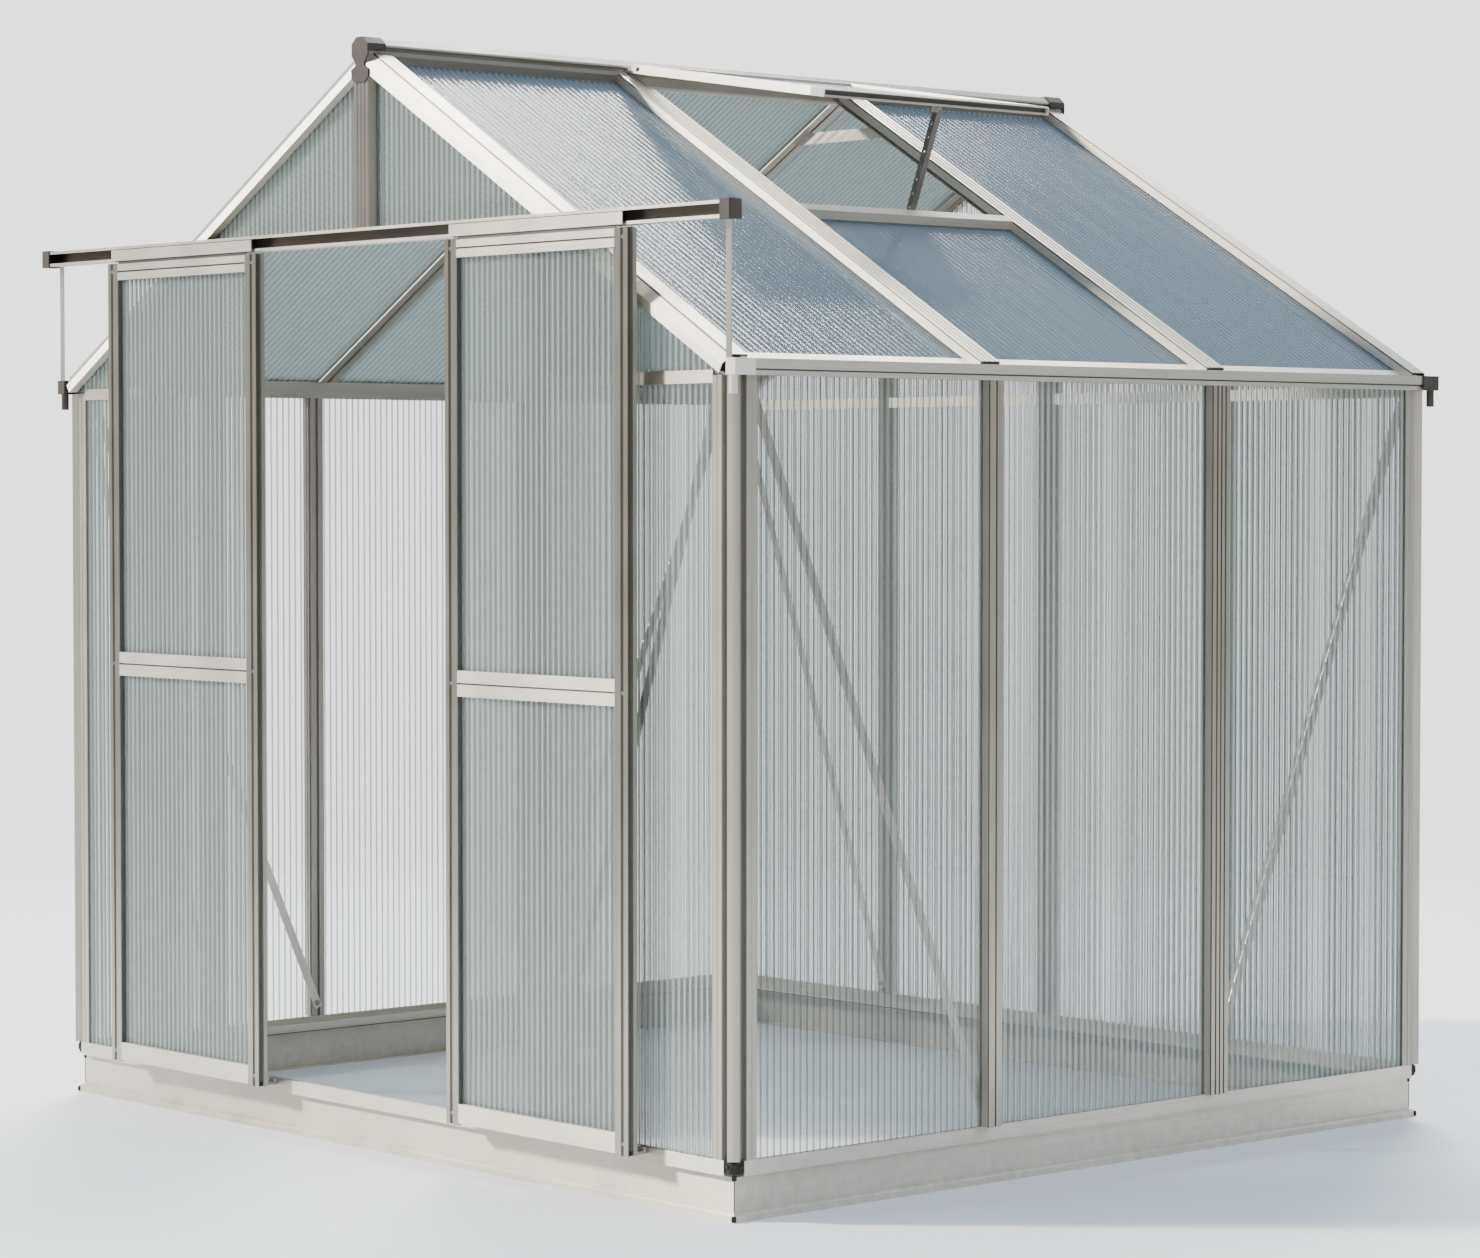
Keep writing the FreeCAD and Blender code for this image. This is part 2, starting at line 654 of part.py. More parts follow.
# Gutter end caps: a sump at each gutter end, a cheek along the gutter face and a spout below.
cap_length = "half_length + bead_out - gutter_half"
sump_shell = block("sump_shell", "gutter_out + cap_wall - sill_overhang", cap_length, "gutter_rise")
place(sump_shell, ("half_width + sill_overhang", "gutter_half", "eaves_height"))
sump_room = block("sump_room", "gutter_out - sill_overhang - cap_wall", f"{cap_length} - cap_wall",
                  "gutter_rise")
place(sump_room, ("half_width + sill_overhang + cap_wall", "gutter_half", "eaves_height + gutter_floor"))
cheek = block("cheek", "cap_wall - fit", "cheek_run", "gutter_rise")
place(cheek, ("half_width + gutter_out + fit", "gutter_half - cheek_run", "eaves_height"))
spout = rod("spout", "spout_radius", "spout_drop + gutter_floor")
spout_y = "half_length + bead_out - spout_inset"
place(spout, ("half_width + spout_out", spout_y, "eaves_height - spout_drop"))
spout_bore = rod("spout_bore", "spout_radius - lip", "spout_drop + gutter_floor")
place(spout_bore, ("half_width + spout_out", spout_y, "eaves_height - spout_drop"))
sump = fused("sump", [sump_shell, cheek, spout])
sump_tool = fused("sump_tool", [sump_room, spout_bore])
gutter_cap = cut("gutter_cap", sump, sump_tool)
gutter_cap_front = opposite(gutter_cap, "gutter_cap_front")
group("gutter_end_caps", [gutter_cap, across(gutter_cap, "gutter_cap_left"), gutter_cap_front,
                          across(gutter_cap_front, "gutter_cap_front_left")])

# Ridge bar: hollow octagon whose lower flanks are square to the slopes, with a hinge groove each side.
flank_top = "flank_z + corner_rise * slope_cos"
flank_low_x = "flank_x + back_in * slope_sin"
flank_low_z = "flank_z + back_in * slope_cos"
ridge_right = [("ridge_crown", "ridge_top"), ("ridge_half", "ridge_top - ridge_bevel"),
               ("ridge_half", flank_top), (flank_low_x, flank_low_z)]
ridge_left = [(f"-({out})", up) for out, up in reversed(ridge_right)]
hollow_right = [("ridge_crown - ridge_wall", "ridge_top - ridge_wall"),
                ("ridge_half - ridge_side", "ridge_top - ridge_shoulder"),
                ("ridge_half - ridge_side", flank_top),
                (f"{flank_low_x} - ridge_floor", f"{flank_low_z} + ridge_wall")]
hollow_left = [(f"-({out})", up) for out, up in reversed(hollow_right)]
ridge_run = "base_length + 2 * ridge_reach"
ridge = profile("ridge", "XZ", [ridge_right + ridge_left, hollow_right + hollow_left], ridge_run)
place(ridge, ("0", f"-({ridge_run}) / 2", "0"))
groove = rod("groove", "hinge_radius + fit", ridge_run)
place(groove, ("hinge_x", f"({ridge_run}) / 2", "hinge_height"), (1, 0, 0), "90")
grooves = fused("grooves", [groove, across(groove, "groove_left")])
node(cut("ridge_bar", ridge, grooves), "ridge_bar")

# Ridge end caps: a figure-of-eight plate with a sleeve over the top of the ridge.
rim_crown = ("ridge_crown + cap_rim / 3", "ridge_top + cap_rim")
rim_edge = ("ridge_half + cap_rim", "ridge_top - ridge_bevel + cap_rim / 2")
lobe_foot = "ridge_top - lobe_top - lobe_height"
crown = [rim_crown, rim_edge, ("ridge_half + cap_rim", "ridge_top - cap_side"),
         ("neck_half", "ridge_top - cap_neck"), ("neck_half", "ridge_top - cap_neck - neck_height"),
         ("lobe_half", "ridge_top - lobe_top"), ("lobe_half", f"{lobe_foot} + lobe_bevel"),
         ("lobe_half - lobe_flat", lobe_foot)]
face_outline = crown + [(f"-({out})", up) for out, up in reversed(crown)]
cap_face = profile("cap_face", "XZ", [face_outline], "ridge_cap")
place(cap_face, ("0", "half_length + ridge_reach", "0"))
outer_sleeve = [rim_crown, rim_edge, ("ridge_half + cap_rim", "ridge_top - sleeve_side")]
inner_sleeve = [("ridge_half + fit", "ridge_top - sleeve_side"),
                ("ridge_half + fit", "ridge_top - ridge_bevel + fit / 2"),
                ("ridge_crown + fit / 2", "ridge_top + fit")]
sleeve_right = outer_sleeve + inner_sleeve
sleeve_outline = sleeve_right + [(f"-({out})", up) for out, up in reversed(sleeve_right)]
sleeve = profile("sleeve", "XZ", [sleeve_outline], "cap_sleeve")
place(sleeve, ("0", "half_length + ridge_reach - cap_sleeve", "0"))
ridge_cap = fused("ridge_cap_rear", [cap_face, sleeve])
group("ridge_end_caps", [ridge_cap, opposite(ridge_cap, "ridge_cap_front")])

# Rafters: bevelled bars along the gables, glazing bars between them, small caps at their feet.
gable_out = "bead_out - pane_out - fit"
gable_in = "bead_out - pane_in + fit"
rafter_outline = [("0", "-rafter_skirt"), (gable_out, "-rafter_skirt"), (gable_out, "back_in + fit"),
                  (gable_in, "back_in + fit"), (gable_in, "-rafter_skirt"),
                  (f"{gable_in} + lip", "-rafter_skirt"), (f"{gable_in} + lip", "back_in"),
                  ("rafter_depth", "back_in"), ("rafter_depth", "clamp_in"),
                  ("rafter_slot", "clamp_in"), ("rafter_slot", "clamp_out"), ("rafter_depth", "clamp_out"),
                  ("rafter_depth", "bead_out"), ("rafter_bevel", "bead_out"), ("0", "pane_out")]
rafter_hollow = [("lip", "lip - rafter_skirt"), (f"{gable_out} - lip", "lip - rafter_skirt"),
                 (f"{gable_out} - lip", "back_in + lip + fit"), ("rafter_slot - lip", "back_in + lip + fit"),
                 ("rafter_slot - lip", "bead_out - lip"), ("rafter_bevel + 1", "bead_out - lip"),
                 ("lip", "pane_out - 0.5")]
rafter_run = "roof_run - ridge_flank"
gable_rafter = profile("gable_rafter", "YZ", [rafter_outline, rafter_hollow], rafter_run)
on_slope(gable_rafter, "ridge_flank", "-half_length - bead_out", "0")
gable_left = across(gable_rafter, "gable_rafter_left")
group("front_gable_rafters", [gable_rafter, gable_left])
group("rear_gable_rafters", [opposite(gable_rafter, "gable_rafter_rear"),
                             opposite(gable_left, "gable_rafter_rear_left")])
rafter_one = bar("rafter_one", "wide_bead", FLUTES, rafter_run, "YZ")
on_slope(rafter_one, "ridge_flank", "-bar_y", "0")
rafter_two = bar("rafter_two", "wide_bead", FLUTES, rafter_run, "YZ")
on_slope(rafter_two, "ridge_flank", "bar_y", "0")
group("roof_rafters", [rafter_one, rafter_two, across(rafter_one, "rafter_one_left"),
                       across(rafter_two, "rafter_two_left")])
foot = block("foot_cap_front", "foot_cap", "wide_bead", "bead_proud")
on_slope(foot, "roof_run", "-bar_y - wide_bead / 2", "clamp_out")
foot_rear = opposite(foot, "foot_cap_rear")
group("rafter_foot_caps", [foot, foot_rear, across(foot, "foot_cap_front_left"),
                           across(foot_rear, "foot_cap_rear_left")])

# Collar ties between the roof rafters, cut to the slopes.
def under_rafter(level):
    """Half the clear width under the rafters at a level."""
    return f"(apex_height + back_in / slope_cos - ({level})) / slope_tan"


tie_top = "tie_level + tie_height"
tie_corners = [(under_rafter("tie_level"), "tie_level"), (under_rafter(tie_top), tie_top),
               (f"-{under_rafter(tie_top)}", tie_top), (f"-{under_rafter('tie_level')}", "tie_level")]
tie = profile("tie_front", "XZ", [tie_corners], "tie_thick")
place(tie, ("0", "-bar_y + bolt_slot / 2 + lip", "0"))
group("collar_ties", [tie, opposite(tie, "tie_rear")])

# Diagonal wall braces on the inner faces of the posts and bars.
brace = block("brace_side_front", "brace_thick", "brace_width", "sqrt(brace_reach^2 + brace_rise^2)")
place(brace, ("half_width + back_in - brace_thick", "-bar_y - brace_width / 2", "brace_foot"),
      (1, 0, 0), "atan(brace_reach / brace_rise)")
brace_rear = opposite(brace, "brace_side_rear")
brace_gable = block("brace_front", "brace_width", "brace_thick", "sqrt(brace_span^2 + brace_rise^2)")
place(brace_gable, ("door_post_x - brace_width / 2", "-half_length - back_in", "brace_foot"),
      (0, 1, 0), "atan(brace_span / brace_rise)")
brace_back = opposite(brace_gable, "brace_rear")
group("wall_braces", [brace, across(brace, "brace_side_left"),
                      brace_rear, across(brace_rear, "brace_rear_side"),
                      brace_gable, across(brace_gable, "brace_front_left"), brace_back,
                      across(brace_back, "brace_rear_left")])

# Sheets of the walls and gables.
def pane(label, start, end, foot_level, head_level):
    """An upright sheet of the rear wall between two stations."""
    piece = block(label, f"{end} - ({start})", "sheet", f"{head_level} - ({foot_level})")
    return place(piece, (start, "half_length + pane_in", foot_level))


def side_pane(label, start, end):
    """An upright sheet of the right wall between two stations."""
    piece = block(label, "sheet", f"{end} - ({start})", f"{slot_head} - sill_floor - 2 * fit")
    return place(piece, ("half_width + pane_in", start, "sill_floor + fit"))


corner_y = "half_length - wing_slot - fit"
side_one = side_pane("side_one", f"-({corner_y})", "-bar_y - pane_gap")
side_two = side_pane("side_two", "-bar_y + pane_gap", "bar_y - pane_gap")
side_three = side_pane("side_three", "bar_y + pane_gap", corner_y)
group("right_wall_sheets", [side_one, side_two, side_three])
group("left_wall_sheets", [across(side_one, "side_one_left"), across(side_two, "side_two_left"),
                           across(side_three, "side_three_left")])
sill_seat = "sill_floor + fit"
rail_seat = "rail_bottom + rail_slot - fit"
outer_start = "door_post_x + pane_gap"
outer_end = "half_width - wing_slot - fit"
inner_end = "door_post_x - pane_gap"
low_outer = pane("low_outer", outer_start, outer_end, sill_seat, rail_seat)
low_inner = pane("low_inner", "pane_gap", inner_end, sill_seat, rail_seat)


def under_slope(station):
    """The level of the sheet slot under the gable rafters at a station."""
    return f"apex_height + (back_in - 0.2) / slope_cos - ({station}) * slope_tan"


def gable_pane(label, start, end, foot_level):
    """A rear gable sheet that follows the slope."""
    corners = [(start, foot_level), (end, foot_level), (end, under_slope(end)), (start, under_slope(start))]
    piece = profile(label, "XZ", [corners], "sheet")
    return place(piece, ("0", "half_length + pane_in", "0"))


rail_head = "rail_top - rail_slot + fit"
high_outer = gable_pane("high_outer", outer_start, "half_width - 26", rail_head)
high_inner = gable_pane("high_inner", "pane_gap + 4", inner_end, rail_head)
over_door = gable_pane("over_door", "pane_gap + 4", inner_end, "track_top - rail_slot + fit")
low_front = opposite(low_outer, "low_front")
high_front = opposite(high_outer, "high_front")
door_front_pane = opposite(over_door, "over_door_front")
group("front_wall_sheets", [low_front, across(low_front, "low_front_left")])
group("front_gable_sheets", [high_front, across(high_front, "high_front_left"),
                             door_front_pane, across(door_front_pane, "over_door_left")])
group("rear_wall_sheets", [low_outer, across(low_outer, "low_outer_left"),
                           low_inner, across(low_inner, "low_inner_left")])
group("rear_gable_sheets", [high_outer, across(high_outer, "high_outer_left"),
                            high_inner, across(high_inner, "high_inner_left")])


# Roof sheets lie between the rafters; the vent takes the upper half of the middle right bay.
def roof_sheet(label, start, end, first, last):
    """A sheet of the right slope between two stations, from one distance down the slope to another."""
    piece = block(label, f"{last} - ({first})", f"{end} - ({start})", "sheet")
    return on_slope(piece, first, start, "pane_in")


gable_edge = "half_length + bead_out - rafter_slot - fit"
sheet_start = "ridge_flank + fit"
roof_one = roof_sheet("roof_one", f"-({gable_edge})", "-bar_y - pane_gap", sheet_start, "sheet_end")
roof_two = roof_sheet("roof_two", "-bar_y + pane_gap", "bar_y - pane_gap", sheet_start, "sheet_end")
roof_three = roof_sheet("roof_three", "bar_y + pane_gap", gable_edge, sheet_start, "sheet_end")
roof_low = roof_sheet("roof_low", "-bar_y + pane_gap", "bar_y - pane_gap",
                      "sill_start + sill_run - sill_bite + fit", "sheet_end")
group("right_roof_sheets", [roof_one, roof_low, roof_three])
group("left_roof_sheets", [across(roof_one, "roof_one_left"), across(roof_two, "roof_two_left"),
                           across(roof_three, "roof_three_left")])

# Vent sill across the middle bay, and the slotted guide for the stay on its upper side.
sill_end = "sill_start + sill_run"
bite = f"{sill_end} - sill_bite"
vent_sill = profile("vent_sill_bar", "XZ", [[("sill_start", "back_in"), (sill_end, "back_in"),
                                             (sill_end, "clamp_in"), (bite, "clamp_in"), (bite, "clamp_out"),
                                             (sill_end, "clamp_out"), (sill_end, "bead_out - 0.5"),
                                             ("sill_start", "bead_out - 0.5")]], "bar_pitch - wide_bead")
node(on_slope(vent_sill, "0", "wide_bead / 2 - bar_y", "0"), "vent_sill")
guide_plate = block("guide_plate", "guide_reach", "stay_leg + 11", "lip")
on_slope(guide_plate, "sill_start - guide_reach", "stay_y - 5.5", "guide_level")
guide_slot = block("guide_slot", "guide_reach - 12", "stay_leg + 3", "lip")
on_slope(guide_slot, "sill_start - guide_reach + 4", "stay_y - 1.5", "guide_level")
node(cut("guide", guide_plate, guide_slot), "stay_guide")

# Roof vent, drawn about its hinge line and shown as far open as in the photo.
pane_low = "vent_sheet - fit"
pane_high = "vent_sheet + sheet + fit"
top_end = "vent_start + vent_top"
top_slot = f"{top_end} - vent_slot"
top_section = [("hinge_radius - 2", "-hinge_neck / 2"), ("vent_start", "-hinge_neck / 2"),
               ("vent_start", "-vent_below"), (top_end, "-vent_below"), (top_end, pane_low),
               (top_slot, pane_low), (top_slot, pane_high), (top_end, pane_high), (top_end, "vent_above"),
               ("vent_start", "vent_above"), ("vent_start", "hinge_neck / 2"),
               ("hinge_radius - 2", "hinge_neck / 2")]
vent_head = profile("vent_head", "XZ", [top_section], "vent_width")
on_vent(vent_head, "0", "-vent_width / 2")
vent_bead = rod("vent_bead", "hinge_radius", "vent_width")
place(vent_bead, ("hinge_x", "vent_width / 2", "hinge_height"), (1, 0, 0), "90")
node(fused("vent_top_rail", [vent_head, vent_bead]), "vent_top_rail")
low_start = "vent_length - vent_bottom"
low_slot = f"{low_start} + vent_slot"
face_end = "vent_length - face_depth"
face_top = "face_low + face_height"
low_section = [(low_start, "-vent_below"), ("vent_length", "-vent_below"), ("vent_length", "face_low"),
               (face_end, "face_low"), (face_end, face_top), ("vent_length", face_top),
               ("vent_length", "vent_above - vent_nose / 2"), ("vent_length - vent_nose", "vent_above"),
               (low_start, "vent_above"), (low_start, pane_high), (low_slot, pane_high), (low_slot, pane_low),
               (low_start, pane_low)]
vent_foot = profile("vent_foot", "XZ", [low_section], "vent_width")
on_vent(vent_foot, "0", "-vent_width / 2")
lug = profile("lug", "XZ", [[("stay_along - 7", "-stay_below - 6"), ("stay_along + 6", "-stay_below - 6"),
                             (f"{low_start} + 12", "-vent_below"), (f"{low_start} + 12", "1 - vent_below"),
                             (low_start, "1 - vent_below"), (low_start, "-vent_below"),
                             ("stay_along - 7", "-vent_below")]], "lug_thick")
on_vent(lug, "0", "stay_y - fit - lug_thick")
stay_x = "hinge_x + stay_along * cos(vent_tilt) - stay_below * sin(vent_tilt)"
stay_z = "hinge_height - stay_along * sin(vent_tilt) - stay_below * cos(vent_tilt)"
stay_pin = rod("stay_pin_rod", "stay_pin", "lug_thick + 2 * fit + stay_thick + 3")
place(stay_pin, (stay_x, "stay_y + stay_thick + fit + 3", stay_z), (1, 0, 0), "90")
node(fused("vent_bottom_rail", [vent_foot, lug, stay_pin]), "vent_bottom_rail")
cap_outline = [(low_start, "-vent_below"), ("vent_length", "-vent_below"),
               ("vent_length", "vent_above - vent_nose / 2"), ("vent_length - vent_nose", "vent_above"),
               (low_start, "vent_above")]
rail_cap = profile("rail_cap", "XZ", [cap_outline], "vent_cap")
on_vent(rail_cap, "0", "vent_width / 2")
group("vent_rail_caps", [rail_cap, opposite(rail_cap, "rail_cap_front")])
edge = "vent_width / 2"
inner_edge = f"{edge} - vent_side"
side_section = [(inner_edge, "-vent_below"), (edge, "-vent_below"), (edge, "vent_above"),
                (inner_edge, "vent_above"), (inner_edge, pane_high), (f"{inner_edge} + vent_slot", pane_high),
                (f"{inner_edge} + vent_slot", pane_low), (inner_edge, pane_low)]
vent_side = profile("vent_side_bar", "YZ", [side_section], f"{low_start} - ({top_end})")
on_vent(vent_side, top_end, "0")
group("vent_side_rails", [vent_side, opposite(vent_side, "vent_side_front")])
pane_outline = [(f"{top_slot} + fit", "vent_sheet"), (f"{low_slot} - fit", "vent_sheet"),
                (f"{low_slot} - fit", "vent_sheet + sheet"), (f"{top_slot} + fit", "vent_sheet + sheet")]
vent_pane = profile("vent_pane", "XZ", [pane_outline], "vent_width - 2 * (vent_side - vent_slot + fit)")
node(on_vent(vent_pane, "0", "vent_side - vent_slot + fit - vent_width / 2"), "vent_sheet_panel")

# Stay: a perforated angle bar that hangs from the lower rail and runs through the guide.
stay = profile("stay", "XY", [[("-stay_leg / 2", "0"), ("stay_leg / 2", "0"), ("stay_leg / 2", "stay_leg"),
                               ("stay_leg / 2 - stay_thick", "stay_leg"),
                               ("stay_leg / 2 - stay_thick", "stay_thick"), ("-stay_leg / 2", "stay_thick")]],
               "stay_length + 4.5")
fall_x = "sin(stay_tilt)"
fall_z = "cos(stay_tilt)"
place(stay, (f"{stay_x} - stay_length * {fall_x}", "stay_y", f"{stay_z} - stay_length * {fall_z}"),
      (0, 1, 0), "stay_tilt")
stay_holes = []
for index in range(10):
    hole = rod(f"stay_hole_{index}", "stay_hole", "2 * stay_leg")
    down = f"stay_pitch * {index}"
    place(hole, (f"{stay_x} - {down} * {fall_x}", "stay_y + stay_leg / 2", f"{stay_z} - {down} * {fall_z}"),
          (1, 0, 0), "90")
    stay_holes.append(hole)
node(cut("stay_bar", stay, fused("stay_tool", stay_holes)), "vent_stay")

# Doors: slotted stiles, three rails, two sheets, a hanger with roller pins, and guides at the foot.
slot_front = "sheet_depth - fit"
slot_back = "sheet_depth + sheet + fit"
strip_end = "stile_lip + stile_strip"
stile_section = [("0", "0"), ("stile_lip", "0"), ("stile_lip", "strip_depth"), (strip_end, "strip_depth"),
                 (strip_end, "0"), ("stile_width", "0"),
                 ("stile_width", slot_front), ("stile_width - stile_slot", slot_front),
                 ("stile_width - stile_slot", slot_back), ("stile_width", slot_back),
                 ("stile_width", "door_depth"), ("0", "door_depth"), ("0", "door_depth - stile_back"),
                 ("stile_recess", "door_depth - stile_back"), ("stile_recess", "stile_edge"),
                 ("0", "stile_edge")]
other_section = [(f"door_width - ({out})", deep) for out, deep in stile_section]


def face_groove(level):
    """Corners of a groove across the front of a rail, from its upper edge down."""
    return [("0", f"{level} + rail_groove / 2"), ("rail_depth", f"{level} + rail_groove / 2"),
            ("rail_depth", f"{level} - rail_groove / 2"), ("0", f"{level} - rail_groove / 2")]


rail_low = "door_top - door_rail"
neck_back = "hanger_thick + neck_thick"
neck_top = "hanger_bottom + neck_hold"
top_outline = [("0", rail_low), (slot_front, rail_low), (slot_front, f"{rail_low} + stile_slot"),
               (slot_back, f"{rail_low} + stile_slot"), (slot_back, rail_low), ("door_depth", rail_low),
               ("door_depth", "door_top"), (neck_back, "door_top"), (neck_back, neck_top),
               ("hanger_thick", neck_top), ("hanger_thick", "door_top - neck_drop"),
               ("0", "door_top - neck_drop")] + face_groove("door_top - door_rail / 2")
mid_top = "door_mid + mid_rail"
mid_outline = [("0", "door_mid"), (slot_front, "door_mid"), (slot_front, "door_mid + stile_slot"),
               (slot_back, "door_mid + stile_slot"), (slot_back, "door_mid"), ("door_depth", "door_mid"),
               ("door_depth", mid_top), (slot_back, mid_top), (slot_back, f"{mid_top} - stile_slot"),
               (slot_front, f"{mid_top} - stile_slot"), (slot_front, mid_top), ("0", mid_top)]
mid_outline += face_groove("door_mid + mid_rail / 2")
rail_foot = "door_bottom + rail_lift"
low_top = f"{rail_foot} + bottom_rail"
bottom_outline = [("0", rail_foot), ("door_depth", rail_foot), ("door_depth", low_top),
                  (slot_back, low_top), (slot_back, f"{low_top} - stile_slot"),
                  (slot_front, f"{low_top} - stile_slot"), (slot_front, low_top), ("0", low_top)]
guide_end = "door_front - sill_overhang - 2 * fit"
guide_foot = "door_bottom + guide_lift"
guide_outline = [("door_depth", guide_foot), (guide_end, guide_foot),
                 (guide_end, f"{guide_foot} + guide_height"),
                 (f"{guide_end} - guide_tooth", f"{guide_foot} + guide_height"),
                 (f"{guide_end} - guide_tooth", f"{guide_foot} + guide_plate"),
                 ("door_depth", f"{guide_foot} + guide_plate")]
roller_outline = [("pin_radius + pin_fit", "0"), ("roller_radius", "0"), ("roller_radius", "roller_groove"),
                  ("roller_radius - roller_groove", "2 * roller_groove"),
                  ("roller_radius - roller_groove", "roller_width - 2 * roller_groove"),
                  ("roller_radius", "roller_width - roller_groove"), ("roller_radius", "roller_width"),
                  ("pin_radius + pin_fit", "roller_width")]


pin_run = "door_front - roller_y + roller_width / 2 + pin_radius / 2 - hanger_thick / 2"


def roller(label, station):
    """A grooved roller turned about its own Z, laid along the house."""
    body = doc.addObject("PartDesign::Body", label)
    drawing = sketch(body, "XZ", [roller_outline])
    turned = body.newObject("PartDesign::Revolution", label + "_turn")
    turned.Profile = drawing
    turned.ReferenceAxis = (drawing, ["V_Axis"])
    turned.Angle = 360
    return place(body, (station, "-half_length - roller_y + roller_width / 2", "roller_z"), (1, 0, 0), "90")


for side, start in (("left", "-left_open - door_width"), ("right", "right_open")):
    front = "-half_length - door_front"
    near = profile(side + "_stile_near", "XY", [stile_section], "door_top - door_bottom")
    place(near, (start, front, "door_bottom"))
    far = profile(side + "_stile_far", "XY", [other_section], "door_top - door_bottom")
    place(far, (start, front, "door_bottom"))
    group(side + "_door_stiles", [near, far])
    inner = f"{start} + stile_width"
    top = profile(side + "_top", "YZ", [top_outline], "inner_width")
    place(top, (inner, front, "0"))
    hanger = block(side + "_hanger", "door_width - 2 * hanger_inset", "hanger_thick", "hanger_height")
    place(hanger, (f"{start} + hanger_inset", front, "hanger_bottom"))
    stations = {"outer": f"{start} + roller_inset", "inner": f"{start} + door_width - roller_inset"}
    pins = []
    for name, station in stations.items():
        pin = rod(f"{side}_{name}_pin", "pin_radius", pin_run)
        place(pin, (station, f"{front} + hanger_thick / 2", "roller_z"), (1, 0, 0), "-90")
        pins.append(pin)
    node(fused(side + "_door_top_rail", [top, hanger] + pins), side + "_door_top_rail")
    middle = profile(side + "_middle", "YZ", [mid_outline], "inner_width")
    place(middle, (inner, front, "0"))
    bottom = profile(side + "_bottom", "YZ", [bottom_outline], "inner_width")
    place(bottom, (inner, front, "0"))
    group(side + "_door_cross_rails", [middle, bottom])
    sheet_run = "inner_width + 2 * stile_slot - 2 * fit"
    lower_rise = f"door_mid - ({low_top}) + 2 * stile_slot - 2 * fit"
    lower = block(side + "_lower", sheet_run, "sheet", lower_rise)
    place(lower, (f"{inner} - stile_slot + fit", f"{front} + sheet_depth", f"{low_top} - stile_slot + fit"))
    upper = block(side + "_upper", sheet_run, "sheet", f"{rail_low} - ({mid_top}) + 2 * stile_slot - 2 * fit")
    place(upper, (f"{inner} - stile_slot + fit", f"{front} + sheet_depth", f"{mid_top} - stile_slot + fit"))
    group(side + "_door_sheets", [lower, upper])
    guide_near = profile(side + "_guide_near", "YZ", [guide_outline], "guide_width")
    place(guide_near, (f"{start} + guide_inset", front, "0"))
    guide_far = profile(side + "_guide_far", "YZ", [guide_outline], "guide_width")
    place(guide_far, (f"{start} + door_width - guide_inset - guide_width", front, "0"))
    group(side + "_door_guides", [guide_near, guide_far])
    for name, station in stations.items():
        node(roller(f"{side}_{name}_roller", station), f"{side}_{name}_roller")

doc.recompute()
for thing in doc.Objects:
    if "Invalid" in thing.State or "Error" in thing.State:
        raise RuntimeError("not rebuilt: " + thing.Label)
os.makedirs("parts", exist_ok=True)
for piece in NODES:
    if piece.Shape.isNull() or not piece.Shape.isValid():
        raise RuntimeError("not a sound shape: " + piece.Label)
    piece.Shape.exportStep("parts/" + piece.Label + ".step")
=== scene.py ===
import math

import bmesh
import bpy
import numpy as np
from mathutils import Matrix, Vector


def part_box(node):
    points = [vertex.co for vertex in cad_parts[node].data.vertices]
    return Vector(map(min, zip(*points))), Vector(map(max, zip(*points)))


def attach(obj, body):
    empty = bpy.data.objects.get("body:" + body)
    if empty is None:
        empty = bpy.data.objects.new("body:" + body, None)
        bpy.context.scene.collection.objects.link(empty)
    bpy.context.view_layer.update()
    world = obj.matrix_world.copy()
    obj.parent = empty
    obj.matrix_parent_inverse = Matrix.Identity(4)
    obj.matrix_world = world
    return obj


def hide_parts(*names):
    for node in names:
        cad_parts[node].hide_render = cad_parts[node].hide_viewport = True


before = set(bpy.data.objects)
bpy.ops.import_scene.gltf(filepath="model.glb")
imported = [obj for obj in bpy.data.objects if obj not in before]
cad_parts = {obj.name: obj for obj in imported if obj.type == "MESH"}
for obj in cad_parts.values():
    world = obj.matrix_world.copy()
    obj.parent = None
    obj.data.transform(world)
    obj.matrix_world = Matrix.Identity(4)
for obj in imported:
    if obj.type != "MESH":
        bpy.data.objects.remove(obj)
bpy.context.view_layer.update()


# Base: four plates with a stepped foot that the house stands on, mitred at the corners.
# Extruded aluminium with a clear anodised skin, dusty near the ground.
# They keep the shape of the CAD nodes and get a drawn-metal material that runs along each plate.
def add_node(tree, kind, inputs=None, **settings):
    """A node of one kind: settings are its properties, inputs are plain values or sockets to link."""
    made = tree.nodes.new(kind)
    for name, value in settings.items():
        setattr(made, name, value)
    for socket, value in (inputs or {}).items():
        if isinstance(value, bpy.types.NodeSocket):
            tree.links.new(value, made.inputs[socket])
        else:
            made.inputs[socket].default_value = value
    return made


def mix_colours(tree, share, first, second):
    """The colour that lies a share of the way from one colour to another."""
    return add_node(tree, "ShaderNodeMix", {0: share, 6: first, 7: second}, data_type="RGBA").outputs[2]


def work_out(tree, operation, first, second=0.0, clamp=False):
    """The result of one sum with numbers or sockets, held between nothing and one where it is clamped."""
    return add_node(tree, "ShaderNodeMath", {0: first, 1: second}, operation=operation,
                    use_clamp=clamp).outputs[0]


def link_object(name, data):
    """An object that holds the data, linked to the scene."""
    made = bpy.data.objects.new(name, data)
    bpy.context.scene.collection.objects.link(made)
    return made


